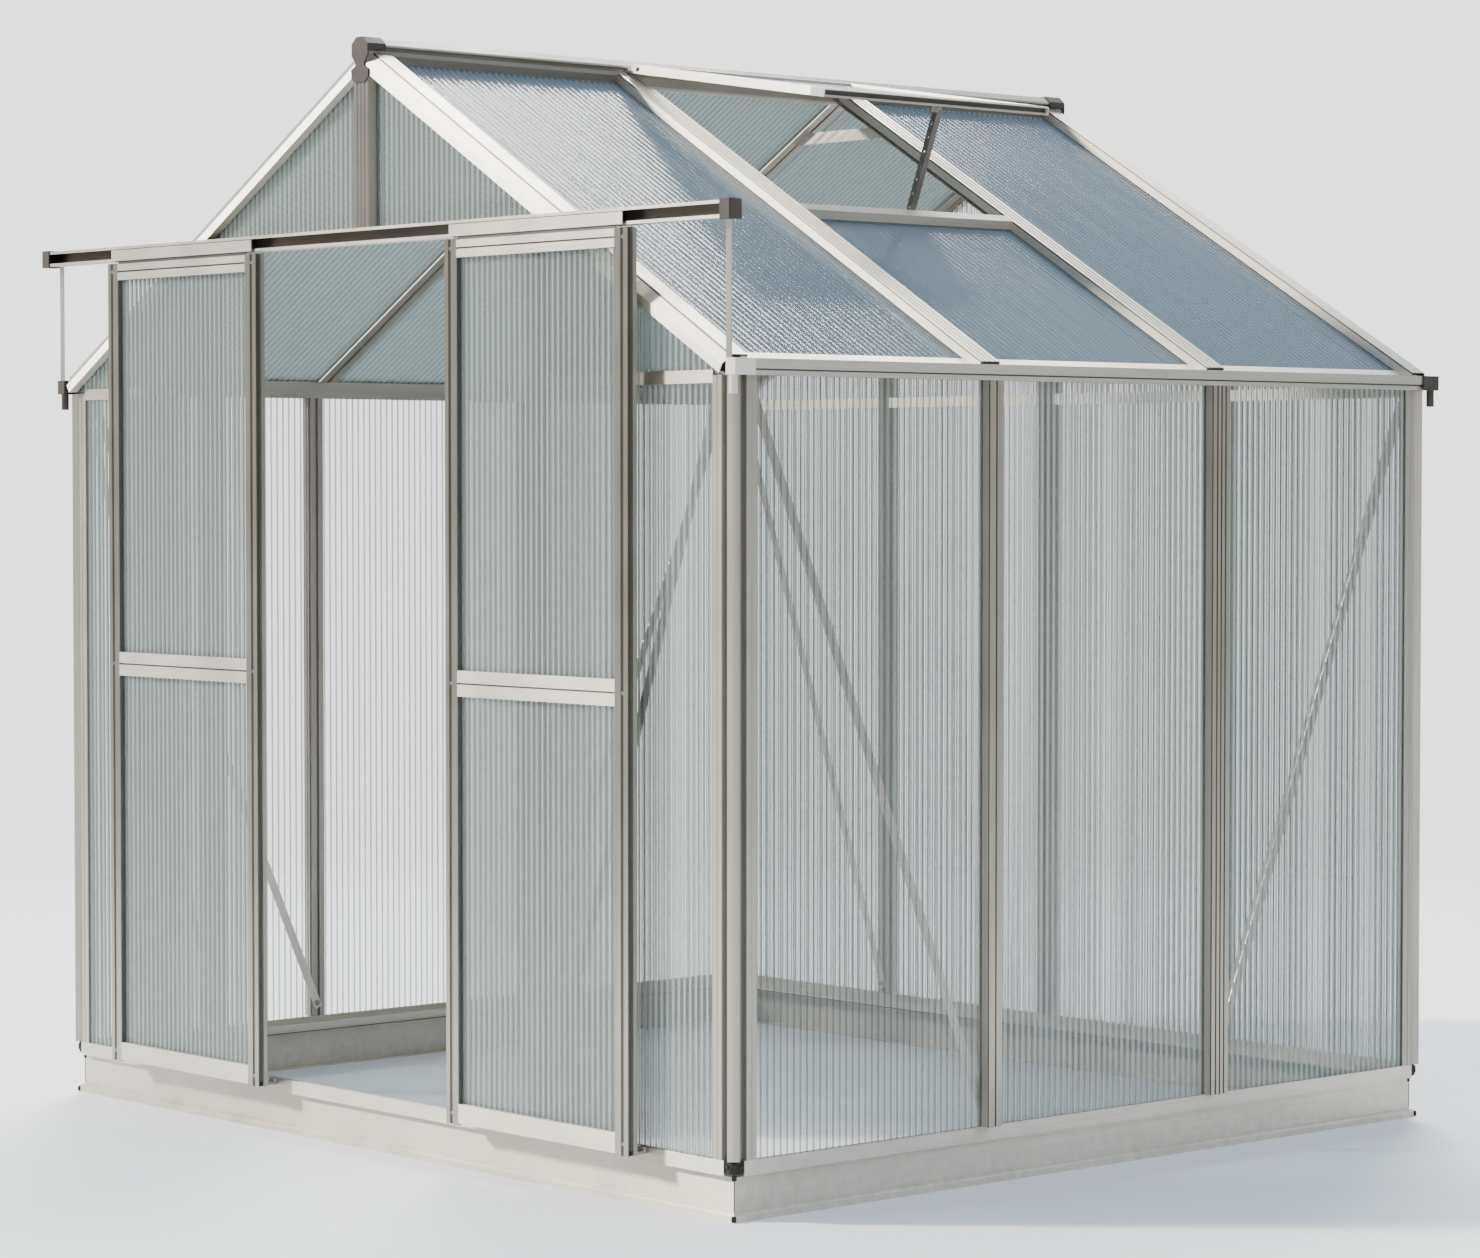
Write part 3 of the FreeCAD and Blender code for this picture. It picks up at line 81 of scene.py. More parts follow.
def new_group(name, takes, gives):
    """An empty node group with the named input and output sockets, and its two end nodes."""
    group = bpy.data.node_groups.new(name, "ShaderNodeTree")
    for label, kind in takes:
        group.interface.new_socket(label, in_out="INPUT", socket_type=kind)
    for label in gives:
        group.interface.new_socket(label, in_out="OUTPUT", socket_type="NodeSocketFloat")
    return group, group.nodes.new("NodeGroupInput"), group.nodes.new("NodeGroupOutput")


def new_material(name):
    """A material that holds one Principled shader, its node tree and that shader."""
    material = bpy.data.materials.new(name)
    material.use_nodes = True
    return material, material.node_tree, material.node_tree.nodes["Principled BSDF"]


def folded_place(tree):
    """Object coordinates with X folded to its distance from the middle of the house."""
    split = add_node(tree, "ShaderNodeSeparateXYZ",
                     {"Vector": add_node(tree, "ShaderNodeTexCoord").outputs["Object"]})
    return add_node(tree, "ShaderNodeCombineXYZ", {"X": work_out(tree, "ABSOLUTE", split.outputs["X"]),
                                                  "Y": split.outputs["Y"],
                                                  "Z": split.outputs["Z"]}).outputs[0]


def drawn_metal_group():
    """Noise squeezed along the bar gives die lines, a slow noise gives clouding, a low height gives dust."""
    takes = [("Turn", "NodeSocketVector"), ("Squeeze", "NodeSocketVector")]
    group, taken, given = new_group("drawn_metal", takes, ["Line", "Cloud", "Dust"])
    place = folded_place(group)
    along = add_node(group, "ShaderNodeMapping", {"Vector": place, "Rotation": taken.outputs["Turn"],
                                                 "Scale": taken.outputs["Squeeze"]})
    line = add_node(group, "ShaderNodeTexNoise", {"Vector": along.outputs[0], "Scale": 1.0, "Detail": 1.0})
    cloud = add_node(group, "ShaderNodeTexNoise", {"Vector": place, "Scale": 5.0, "Detail": 2.0})
    speck = add_node(group, "ShaderNodeTexNoise", {"Vector": place, "Scale": 46.0, "Detail": 1.0})
    height = add_node(group, "ShaderNodeSeparateXYZ", {"Vector": place})
    low = add_node(group, "ShaderNodeMapRange", {"Value": height.outputs["Z"], "From Min": 0.15,
                                                "From Max": 0.0, "To Min": 0.05, "To Max": 0.55})
    dust = work_out(group, "MULTIPLY", low.outputs[0], speck.outputs["Fac"])
    group.links.new(line.outputs["Fac"], given.inputs["Line"])
    group.links.new(cloud.outputs["Fac"], given.inputs["Cloud"])
    group.links.new(dust, given.inputs["Dust"])
    return group


def hollow_shade_group():
    """Painted shade inside a hollow, where two slabs of space cross. A slab is given by its direction and by
    the distances along it where it starts and ends; the mask is the product of soft steps in and out of
    both."""
    sides = ("First", "Second")
    kinds = (("Way", "NodeSocketVector"), ("Low", "NodeSocketFloat"), ("High", "NodeSocketFloat"))
    group, taken, given = new_group("hollow_shade", [(f"{side} {label}", kind) for side in sides
                                                     for label, kind in kinds], ["Grime"])
    place = folded_place(group)
    mask = 1.0
    for side in sides:
        reach = add_node(group, "ShaderNodeVectorMath", {0: place, 1: taken.outputs[f"{side} Way"]},
                         operation="DOT_PRODUCT").outputs["Value"]
        for start, end in ((taken.outputs[f"{side} Low"], reach), (reach, taken.outputs[f"{side} High"])):
            gap = work_out(group, "SUBTRACT", end, start)
            step = work_out(group, "MULTIPLY", gap, shade_edge, clamp=True)
            mask = work_out(group, "MULTIPLY", mask, step)
    group.links.new(mask, given.inputs["Grime"])
    return group


# Painted shade in hollows: how sharp its edges are, how much it covers, and its near-black colour.
shade_edge = 1600.0
shade_cover = 0.86
metal_light = (0.68, 0.63, 0.55, 1.0)
metal_dark = (0.48, 0.45, 0.39, 1.0)
black_painted_shade = (0.045, 0.043, 0.038, 1.0)
ground_dust = (0.36, 0.33, 0.28, 1.0)


def aluminium(name, drawn_along, hollow=None, light=metal_light, dark=metal_dark, painted_shade=black_painted_shade,
              bare=0.95, spread=0.85):
    """Drawn aluminium: its gloss spreads across the die lines, which darken it a little; the clouding sets
    the gloss, dust dulls the foot, and a hollow, where one is given with its mask, holds painted shade. A
    mask that also gives a crown bends the normals as a rounded face would. A less bare metal has a dull,
    chalky skin."""
    turn, squeeze, way = drawn_along
    material, tree, shader = new_material(name)
    drawn = add_node(tree, "ShaderNodeGroup", {"Turn": turn, "Squeeze": squeeze}, node_tree=drawn_metal)
    tone = mix_colours(tree, drawn.outputs["Line"], light, dark)
    colour = mix_colours(tree, drawn.outputs["Dust"], tone, ground_dust)
    if hollow:
        mask, places = hollow
        held = add_node(tree, "ShaderNodeGroup", places, node_tree=mask)
        share = work_out(tree, "MULTIPLY", held.outputs["Grime"], shade_cover)
        colour = mix_colours(tree, share, colour, painted_shade)
    gloss = add_node(tree, "ShaderNodeMapRange", {"Value": drawn.outputs["Cloud"], "From Min": 0.3,
                                                 "From Max": 0.7, "To Min": 0.38, "To Max": 0.52})
    relief = add_node(tree, "ShaderNodeBump", {"Height": drawn.outputs["Line"], "Strength": 0.12,
                                              "Distance": 0.0004})
    if hollow and "Crown" in held.outputs:
        relief = add_node(tree, "ShaderNodeBump", {"Height": held.outputs["Crown"], "Strength": 1.0,
                                                  "Distance": 1.0, "Normal": relief.outputs[0]})
    tree.links.new(colour, shader.inputs["Base Color"])
    tree.links.new(gloss.outputs[0], shader.inputs["Roughness"])
    tree.links.new(relief.outputs[0], shader.inputs["Normal"])
    across = add_node(tree, "ShaderNodeCombineXYZ", {"X": way[0], "Y": way[1], "Z": way[2]})
    tree.links.new(across.outputs[0], shader.inputs["Tangent"])
    shader.inputs["Anisotropic"].default_value = spread
    shader.inputs["Anisotropic Rotation"].default_value = 0.25
    shader.inputs["Metallic"].default_value = bare
    return material


def dress(material, *nodes):
    """Gives the CAD nodes the material in every one of their slots."""
    for node in nodes:
        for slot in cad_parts[node].material_slots:
            slot.material = material


drawn_metal = drawn_metal_group()
hollow_shade = hollow_shade_group()
line_density = 620.0
line_length = 2.2
level = (0.0, 0.0, 0.0)
straight_up = (0.0, 0.0, 1.0)
along_x = (level, (line_length, line_density, line_density), (1.0, 0.0, 0.0))
along_y = (level, (line_density, line_length, line_density), (0.0, 1.0, 0.0))
along_z = (level, (line_density, line_density, line_length), straight_up)
everywhere = {"Second Way": straight_up, "Second Low": -9.0, "Second High": 9.0}
base_height = 0.088
sill_skirt = 0.004
sill_shade = 0.0035
# Painted shadow: the base is darkened in a thin band under the sill's skirt, where the sill's overhang casts
# shade.
shadow_under_sill = (hollow_shade, {"First Way": straight_up, "First Low": base_height - sill_skirt - sill_shade,
                             "First High": base_height, **everywhere})
dress(aluminium("base_end_metal", along_x, shadow_under_sill), "base_ends")
# Lighter, warmer tones for metal along the sides and for the foot strips: a painted reflection of sunlit
# ground.
lit_metal_tones = ((0.93, 0.845, 0.725, 1.0), (0.70, 0.635, 0.545, 1.0))
dress(aluminium("base_side_metal", along_y, shadow_under_sill, *lit_metal_tones), "base_sides")


# Base corner keys: black plugs at the top and foot of each mitre, and a thin web that fills the joint.
# Moulded plastic, pressed into the open ends of the plates.
# Each is a superellipse that is carried outwards along the corner's diagonal.
def plastic(name, colour, worn, gloss, pale=None):
    """Moulded plastic: fine pitting in the skin, paler where it has chalked in the sun. A pale end, where
    one is given, is a painted highlight: a pale colour beyond a distance along a direction."""
    material, tree, shader = new_material(name)
    place = add_node(tree, "ShaderNodeTexCoord").outputs["Object"]
    pits = add_node(tree, "ShaderNodeTexNoise", {"Vector": place, "Scale": 900.0, "Detail": 2.0})
    chalk = add_node(tree, "ShaderNodeTexNoise", {"Vector": place, "Scale": 24.0, "Detail": 6.0})
    tone = mix_colours(tree, chalk.outputs["Fac"], colour, worn)
    if pale:
        reach = add_node(tree, "ShaderNodeVectorMath", {0: place, 1: pale[0]}, operation="DOT_PRODUCT")
        beyond = work_out(tree, "GREATER_THAN", reach.outputs["Value"], pale[1])
        tone = mix_colours(tree, beyond, tone, pale[2])
    sheen = add_node(tree, "ShaderNodeMapRange", {"Value": chalk.outputs["Fac"], "From Min": 0.3,
                                                 "From Max": 0.7, "To Min": gloss, "To Max": gloss + 0.16})
    relief = add_node(tree, "ShaderNodeBump", {"Height": pits.outputs["Fac"], "Strength": 0.25,
                                              "Distance": 0.0005})
    tree.links.new(tone, shader.inputs["Base Color"])
    tree.links.new(sheen.outputs[0], shader.inputs["Roughness"])
    tree.links.new(relief.outputs[0], shader.inputs["Normal"])
    shader.inputs["Specular IOR Level"].default_value = 0.3
    return material


def plug_skin(centre, outward, upright, half_width, half_height, depth, power=5.0, sides=20):
    """A closed plug. The angle runs round a superellipse of the given power; the other parameter runs from
    the middle of the back, up the side, over an eased rim, to the middle of the face."""
    angle = np.arange(sides) * 2 * math.pi / sides
    outward, upright = np.array(outward, float), np.array(upright, float)
    outward = outward / np.linalg.norm(outward)
    sideways = np.cross(upright, outward)
    draw = np.array([0.0, 1.0, 1.0, 0.84, 0.0])[:, None]
    reach = np.array([0.0, 0.0, 0.65, 1.0, 1.0])[:, None] * depth
    wide = np.sign(np.cos(angle)) * np.abs(np.cos(angle)) ** (2 / power) * half_width * draw
    tall = np.sign(np.sin(angle)) * np.abs(np.sin(angle)) ** (2 / power) * half_height * draw
    return (np.array(centre, float) + wide[..., None] * sideways + tall[..., None] * upright
            + (reach + 0 * wide)[..., None] * outward)


def plug_piece(name, body, material, skins):
    """One piece from several plug skins: quads between neighbouring rings, with the poles merged."""
    points, faces, start = [], [], 0
    for skin in skins:
        rings, sides = skin.shape[:2]
        index = start + np.arange(rings * sides).reshape(rings, sides)
        after = np.roll(index, -1, axis=1)
        faces.append(np.stack([index[:-1], after[:-1], after[1:], index[1:]], axis=-1).reshape(-1, 4))
        points.append(skin.reshape(-1, 3))
        start += rings * sides
    mesh = bpy.data.meshes.new(name)
    mesh.from_pydata(np.concatenate(points), [], np.concatenate(faces))
    solid = bmesh.new()
    solid.from_mesh(mesh)
    bmesh.ops.remove_doubles(solid, verts=solid.verts, dist=1e-7)
    bmesh.ops.recalc_face_normals(solid, faces=solid.faces)
    solid.to_mesh(mesh)
    solid.free()
    mesh.materials.append(material)
    piece = link_object(name, mesh)
    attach(piece, body)


black_plastic = plastic("black_plastic_skin", (0.006, 0.006, 0.0065, 1), (0.018, 0.0175, 0.0165, 1), 0.45)
half_width, half_length = 1.0815, 0.95
middle = sum(corner.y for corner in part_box("base_sides")) / 2
toe_reach, toe_height = 0.010, 0.017
corners = [(side, end) for side in (1, -1) for end in (1, -1)]


def at_corner(side, end, out, height):
    """A point on a corner's edge, moved out from both faces of the base."""
    return side * (half_width + out), middle + end * (half_length + out), height


key_sink, key_half, key_depth = 0.003, 0.0046, 0.0058
top_key_height = 0.0785
toe_key_height, toe_key_rise = 0.0066, 0.0056
web_sink, web_half, web_depth = 0.001, 0.0009, 0.0021
web_height, web_rise = (toe_height + base_height) / 2, (base_height - toe_height) / 2
key_skins = []
for side, end in corners:
    key_skins.append(plug_skin(at_corner(side, end, -key_sink, top_key_height), (side, end, 0), straight_up,
                               key_half, key_half, key_depth))
    key_skins.append(plug_skin(at_corner(side, end, toe_reach - key_sink, toe_key_height), (side, end, 0),
                               straight_up, key_half, toe_key_rise, key_depth))
    key_skins.append(plug_skin(at_corner(side, end, -web_sink, web_height), (side, end, 0), straight_up,
                               web_half, web_rise, web_depth, power=12))
plug_piece("base_corner_keys", "frame", black_plastic, key_skins)


# Sills: channels on top of the base that take the feet of the wall sheets and posts.
# Extruded aluminium, cut square and held by the black corner joiners between their ends.
# They keep the shape of the CAD nodes; each joiner gets a boss on its face and a lug beside each sill end.
cross_metal = aluminium("cross_metal", along_x)
# The side sills, the vent's top rail and sill and the stay guide take the lighter tones: painted reflection.
length_metal = aluminium("length_metal", along_y, None, *lit_metal_tones)
dress(length_metal, "side_sills")
dress(cross_metal, "sill_front", "sill_rear")
dress(black_plastic, "base_corner_joiners")
boss_out, boss_height = 0.0055, 0.100
boss_half, boss_rise, boss_depth = 0.0062, 0.0085, 0.0058
lug_out, lug_back, lug_height = 0.0132, -0.0045, 0.101
lug_half, lug_rise, lug_depth = 0.0042, 0.0036, 0.0024
joiner_skins = []
for side, end in corners:
    joiner_skins.append(plug_skin(at_corner(side, end, boss_out, boss_height), (side, end, 0), straight_up,
                                  boss_half, boss_rise, boss_depth, power=3))
    for lug_x, lug_y, facing in ((lug_out, lug_back, (side, 0, 0)), (lug_back, lug_out, (0, end, 0))):
        place = (side * (half_width + lug_x), middle + end * (half_length + lug_y), lug_height)
        joiner_skins.append(plug_skin(place, facing, straight_up, lug_half, lug_rise, lug_depth, power=3))
plug_piece("joiner_bosses", "frame", black_plastic, joiner_skins)


# Posts and wall bars: corner posts with a crowned nose, two bars in each side wall, door and gable posts.
# Extruded aluminium, bolted to the sills below and to the gutters and rafters above.
# They keep the shape of the CAD nodes; painted shade darkens the grooves beside the noses and the flutes of
# the bars' faces.
def corner_shade_group():
    """Painted shade beside the nose of a corner post: how far a point stands out from each of the two walls
    gives, by the difference, how far it is to one side of the nose and, by the smaller, where the wing
    begins. The crown of the nose falls away with the square of the first."""
    group, _, given = new_group("corner_shade", [], ["Grime", "Crown"])
    split = add_node(group, "ShaderNodeSeparateXYZ", {"Vector": folded_place(group)})
    fold = work_out(group, "ABSOLUTE", work_out(group, "SUBTRACT", split.outputs["Y"], middle))
    side = work_out(group, "SUBTRACT", split.outputs["X"], half_width)
    end = work_out(group, "SUBTRACT", fold, half_length)
    beside = work_out(group, "ABSOLUTE", work_out(group, "SUBTRACT", side, end))
    past_nose = add_node(group, "ShaderNodeMapRange", {"Value": beside, "From Min": nose_width,
                                                      "From Max": nose_width + nose_fade})
    before_wing = add_node(group, "ShaderNodeMapRange", {"Value": work_out(group, "MINIMUM", side, end),
                                                        "From Min": -wing_start - wing_fade_in,
                                                        "From Max": -wing_start + wing_fade_out})
    painted_shade = work_out(group, "MULTIPLY", past_nose.outputs[0], before_wing.outputs[0])
    square = work_out(group, "POWER", work_out(group, "MINIMUM", beside, nose_width), 2.0)
    crown = work_out(group, "MULTIPLY", square, -crown_curve)
    group.links.new(painted_shade, given.inputs["Grime"])
    group.links.new(crown, given.inputs["Crown"])
    return group


nose_width, nose_fade = 0.0162, 0.0008
wing_start, wing_fade_in, wing_fade_out = 0.016, 0.0006, 0.0002
crown_curve = 14.0
flute_floor, flute_under = 0.0325, 0.0025
bead_face, bead_under = 0.034, 0.0004
# Darker tones for the posts, wall bars, door posts and stiles: painted shade, the same aluminium made
# darker.
shaded_upright_tones = ((0.52, 0.485, 0.42, 1.0), (0.35, 0.325, 0.28, 1.0))
# Near-black painted shade for the grooves beside the corner posts' noses.
post_groove_shade = (0.15, 0.145, 0.135, 1.0)
post_metal = aluminium("post_metal", along_z, (corner_shade_group(), {}), *shaded_upright_tones, post_groove_shade,
                       bare=0.6, spread=0.4)
# The flutes of the wall bars' faces are darkened with painted shade.
wall_bar_metal = aluminium("wall_bar_metal", along_z,
                           (hollow_shade, {"First Way": (1.0, 0.0, 0.0),
                                           "First Low": half_width + flute_floor - flute_under,
                                           "First High": half_width + bead_face - bead_under,
                                           **everywhere}),
                           *shaded_upright_tones, bare=0.88, spread=0.75)
upright_metal = aluminium("upright_metal", along_z, None, *shaded_upright_tones)
dress(post_metal, "rear_corner_posts", "front_corner_posts")
dress(wall_bar_metal, "right_wall_bars", "left_wall_bars")
dress(upright_metal, "door_posts", "rear_wall_posts", "front_gable_post")


# Gable rails, door header and door track, with the struts that tie the track ends to the gutters.
# Extruded aluminium; the track is a C section whose open side holds the door rollers, with painted shade
# inside.
# They keep the shape of the CAD nodes; the track's end caps are dark moulded plastic.
# Lighter tones for the braces and track struts: a painted highlight, the same aluminium made brighter.
lit_strip_tones = ((0.84, 0.80, 0.73, 1.0), (0.70, 0.665, 0.60, 1.0))
strip_metal = aluminium("strip_metal", along_z, None, *lit_strip_tones)
brown_tones = ((0.030, 0.024, 0.019, 1), (0.062, 0.051, 0.042, 1))
brown_plastic = plastic("brown_plastic_skin", *brown_tones, 0.45)
track_low, track_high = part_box("door_track")
track_lip, track_wall = 0.0021, 0.0015
# The inside of the track's C section is darkened with painted shade.
track_recess_shade = (0.15, 0.13, 0.105, 1.0)
track_metal = aluminium("track_metal", along_x,
                        (hollow_shade, {"First Way": (0.0, 1.0, 0.0), "First Low": track_low.y + track_lip,
                                        "First High": track_high.y, "Second Way": straight_up,
                                        "Second Low": track_low.z + track_wall,
                                        "Second High": track_high.z - track_wall}),
                        painted_shade=track_recess_shade)
dress(track_metal, "door_track")
dress(cross_metal, "front_gable_rails", "rear_gable_rails", "door_header")
dress(strip_metal, "track_struts")
dress(brown_plastic, "track_end_caps")


# Gutters: the eaves bars, with a trough for rain and a slot for the wall sheets.
# Extruded aluminium, closed by moulded caps with a spout: dark ones, and one at the front right painted pale
# as a painted highlight of sunlight.
# They keep the shape of the CAD nodes; a painted shadow line lies under the step in the face.
eaves_height = 1.532
gutter_back, gutter_out, gutter_step = 0.030, 0.039, 0.0035
gutter_line, line_below, line_above = 0.0115, 0.0034, 0.001
# A thin band under the step in the gutter's face is darkened: a painted shadow line.
gutter_metal = aluminium("gutter_metal", along_y,
                         (hollow_shade, {"First Way": (1.0, 0.0, 0.0), "First Low": half_width + gutter_back,
                                         "First High": half_width + gutter_out - gutter_step / 4,
                                         "Second Way": straight_up,
                                         "Second Low": eaves_height + gutter_line - line_below,
                                         "Second High": eaves_height + gutter_line + line_above}))
front_right, front_right_reach = (0.707, -0.707, 0.0), 1.2
# The front right cap is painted pale: a painted highlight of sunlight on the dark plastic.
sunlit_cap_tone = (0.66, 0.62, 0.55, 1)
gutter_cap_plastic = plastic("gutter_cap_plastic", *brown_tones, 0.45,
                             (front_right, front_right_reach, sunlit_cap_tone))
dress(gutter_metal, "gutter_left", "gutter_right")
dress(gutter_cap_plastic, "gutter_end_caps")


# Ridge: one extruded bar along the top of the house, with a hinge channel on each side.
# Aluminium, closed by a dark moulded cap at each end.
# It keeps the shape of the CAD nodes; its flanks are darkened with painted shade under the lip that sheds
# the rain.
ridge_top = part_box("ridge_bar")[1].z
# A band on the ridge's flanks under its lip is darkened with painted shade.
shade_foot, shade_head = 0.050, 0.015
ridge_lip_shade = (0.29, 0.26, 0.22, 1.0)
ridge_metal = aluminium("ridge_metal", along_y,
                        (hollow_shade, {"First Way": straight_up, "First Low": ridge_top - shade_foot,
                                        "First High": ridge_top - shade_head, **everywhere}),
                        painted_shade=ridge_lip_shade)
dress(ridge_metal, "ridge_bar")
dress(brown_plastic, "ridge_end_caps")


# Rafters: two at each gable and two pairs between, from the ridge down to the gutters.
# Extruded aluminium with small dark plugs in their feet, and flat ties across near the ridge.
# They keep the shape of the CAD nodes; the die lines and the painted shade in the flutes follow the roof
# pitch.
roof_pitch = math.radians(30.08)
apex = 2.165
slope_out = (math.sin(roof_pitch), 0.0, math.cos(roof_pitch))
slope_level = apex * math.cos(roof_pitch)
down_slope = ((0.0, -roof_pitch, 0.0), along_x[1], (math.cos(roof_pitch), 0.0, -math.sin(roof_pitch)))
# The flutes of the rafters' faces are darkened with painted shade.
rafter_metal = aluminium("rafter_metal", down_slope,
                         (hollow_shade, {"First Way": slope_out,
                                         "First Low": slope_level + flute_floor - flute_under,
                                         "First High": slope_level + bead_face - bead_under, **everywhere}))
dress(rafter_metal, "front_gable_rafters", "rear_gable_rafters", "roof_rafters")
dress(brown_plastic, "rafter_foot_caps")
dress(cross_metal, "collar_ties")


# Braces: flat bars set diagonally inside the walls to keep the house square.
# Rolled aluminium strip, held at both ends by a bolt with a washer and a hexagon nut.
# The bars keep the shape of the CAD nodes; washer, nut and bolt end are three plugs on one axis.
brace_skin = 0.0034
side_bolts = ((0.3222, 0.1430), (0.9105, 1.5049))
end_bolts = ((0.5435, 0.1358), (1.0412, 1.4973))
washer = (0.0072, 0.0014, 16)
hexagon_nut = (0.0058, 0.0064, 6)
bolt_end = (0.0030, 0.0095, 12)
dress(strip_metal, "wall_braces")


def nut_skins(place, inward):
    """A washer, a hexagon nut and the end of its bolt, one on the other, each given by its radius, its depth
    and its number of sides."""
    return [plug_skin(place, inward, straight_up, radius, radius, depth, power=2, sides=sides)
            for radius, depth, sides in (washer, hexagon_nut, bolt_end)]


bolt_skins = []
for side, end in corners:
    for reach, height in side_bolts:
        bolt_skins += nut_skins((side * (half_width + brace_skin), middle + end * reach, height),
                                (-side, 0, 0))
    for reach, height in end_bolts:
        bolt_skins += nut_skins((side * reach, middle + end * (half_length + brace_skin), height),
                                (0, -end, 0))
bolt_tones = ((0.50, 0.50, 0.49, 1.0), (0.30, 0.30, 0.295, 1.0))
bolt_metal = aluminium("bolt_metal", along_z, None, *bolt_tones)
plug_piece("brace_bolts", "frame", bolt_metal, bolt_skins)


# Wall, gable and roof sheets: clear twin-wall plastic, two skins held apart by ribs that run up the wall or
# down the roof. Extruded in one piece, cut to shape, slid into the slots of the bars, with a painted sky
# reflection on top.
# Each sheet is a ruled surface from its foot line to its head line, with a wall across it at every rib.
sheet_depth = 0.006
rib_pitch = 0.0162
rib_half = 0.0016
rib_sink = 0.0006
cell_sag = 0.00035


def sheet_skins(foot_start, foot_end, head_start, head_end, outward):
    """One twin-wall sheet. At a share a of the way across, the foot and head points lie on two straight
    lines; the skins stand half the depth either side of them, less a sink that is greatest on a rib, nothing
    at the rib's shoulders and slight in the middle of a cell. Each rib is a wall from skin to skin."""
    edges = [np.array(point, float) for point in (foot_start, foot_end, head_start, head_end)]
    outward = np.array(outward, float)
    width = np.linalg.norm(edges[1] - edges[0])
    cells = int(round(width / rib_pitch))
    step = width / cells
    ribs = np.arange(cells + 1)[:, None] * step
    across = (ribs + np.array([-rib_half, 0.0, rib_half, step / 2])).ravel()[1:-2]
    sink = np.tile([0.0, rib_sink, 0.0, cell_sag], cells + 1)[1:-2]
    share = (across / width)[:, None]
    foot = edges[0] * (1 - share) + edges[1] * share
    head = edges[2] * (1 - share) + edges[3] * share
    stand = (sheet_depth / 2 - sink)[:, None] * outward
    rings = np.stack([foot + stand, head + stand, head - stand, foot - stand])
    count = len(across)
    column = np.arange(count - 1)
    ring = np.arange(4)[:, None]
    after = (ring + 1) % 4
    strips = np.stack([ring * count + column, ring * count + column + 1,
                       after * count + column + 1, after * count + column], axis=-1).reshape(-1, 4)
    walls = np.arange(0, count - 1, 4)[:, None] + np.array([0, count, 2 * count, 3 * count])
    last = walls[:1, ::-1] + count - 1
    faces = np.concatenate([strips, walls, last])
    if np.dot(np.cross(edges[1] - edges[0], edges[2] + edges[3] - edges[0] - edges[1]), outward) < 0:
        faces = faces[:, ::-1]
    rise = np.linalg.norm(head - foot, axis=1)
    along = np.stack([rise * 0, rise, rise, rise * 0])
    chart = np.stack([np.broadcast_to(across / step, along.shape), along], axis=-1)
    return rings.reshape(-1, 3), faces, chart.reshape(-1, 2)


def sheet_piece(name, node, body, sheets):
    """The sheets of one CAD node as one piece that stands in for it and moves with its body."""
    points, faces, chart, start = [], [], [], 0
    for edges in sheets:
        skin = sheet_skins(*edges)
        points.append(skin[0])
        faces.append(skin[1] + start)
        chart.append(skin[2])
        start += len(skin[0])
    faces = np.concatenate(faces)
    mesh = bpy.data.meshes.new(name)
    mesh.from_pydata(np.concatenate(points), [], faces)
    layer = mesh.uv_layers.new(name="cells")
    layer.data.foreach_set("uv", np.concatenate(chart)[faces.ravel()].ravel())
    mesh.materials.append(clear_sheet)
    piece = link_object(name, mesh)
    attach(piece, body)
    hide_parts(node)


def twin_wall_group():
    """The fraction of a cell that the chart has run through, as an angle, tells by its cosine how near a rib
    is, and the edge is the cosine where the rib begins; slow streaks give haze."""
    group, taken, given = new_group("twin_wall", [("Edge", "NodeSocketFloat")], ["Rib", "Haze"])
    chart = add_node(group, "ShaderNodeTexCoord").outputs["UV"]
    split = add_node(group, "ShaderNodeSeparateXYZ", {"Vector": chart})
    wave = work_out(group, "COSINE", work_out(group, "MULTIPLY", split.outputs["X"], 2 * math.pi))
    rib = add_node(group, "ShaderNodeMapRange", {"Value": wave, "From Min": taken.outputs["Edge"],
                                                "From Max": 0.998}, interpolation_type="SMOOTHSTEP")
    streak = add_node(group, "ShaderNodeMapping", {"Vector": chart, "Scale": (1.7, 0.8, 1.0)})
    haze = add_node(group, "ShaderNodeTexNoise", {"Vector": streak.outputs[0], "Scale": 1.0, "Detail": 0.0},
                    noise_dimensions="2D")
    group.links.new(rib.outputs[0], given.inputs["Rib"])
    group.links.new(haze.outputs["Fac"], given.inputs["Haze"])
    return group


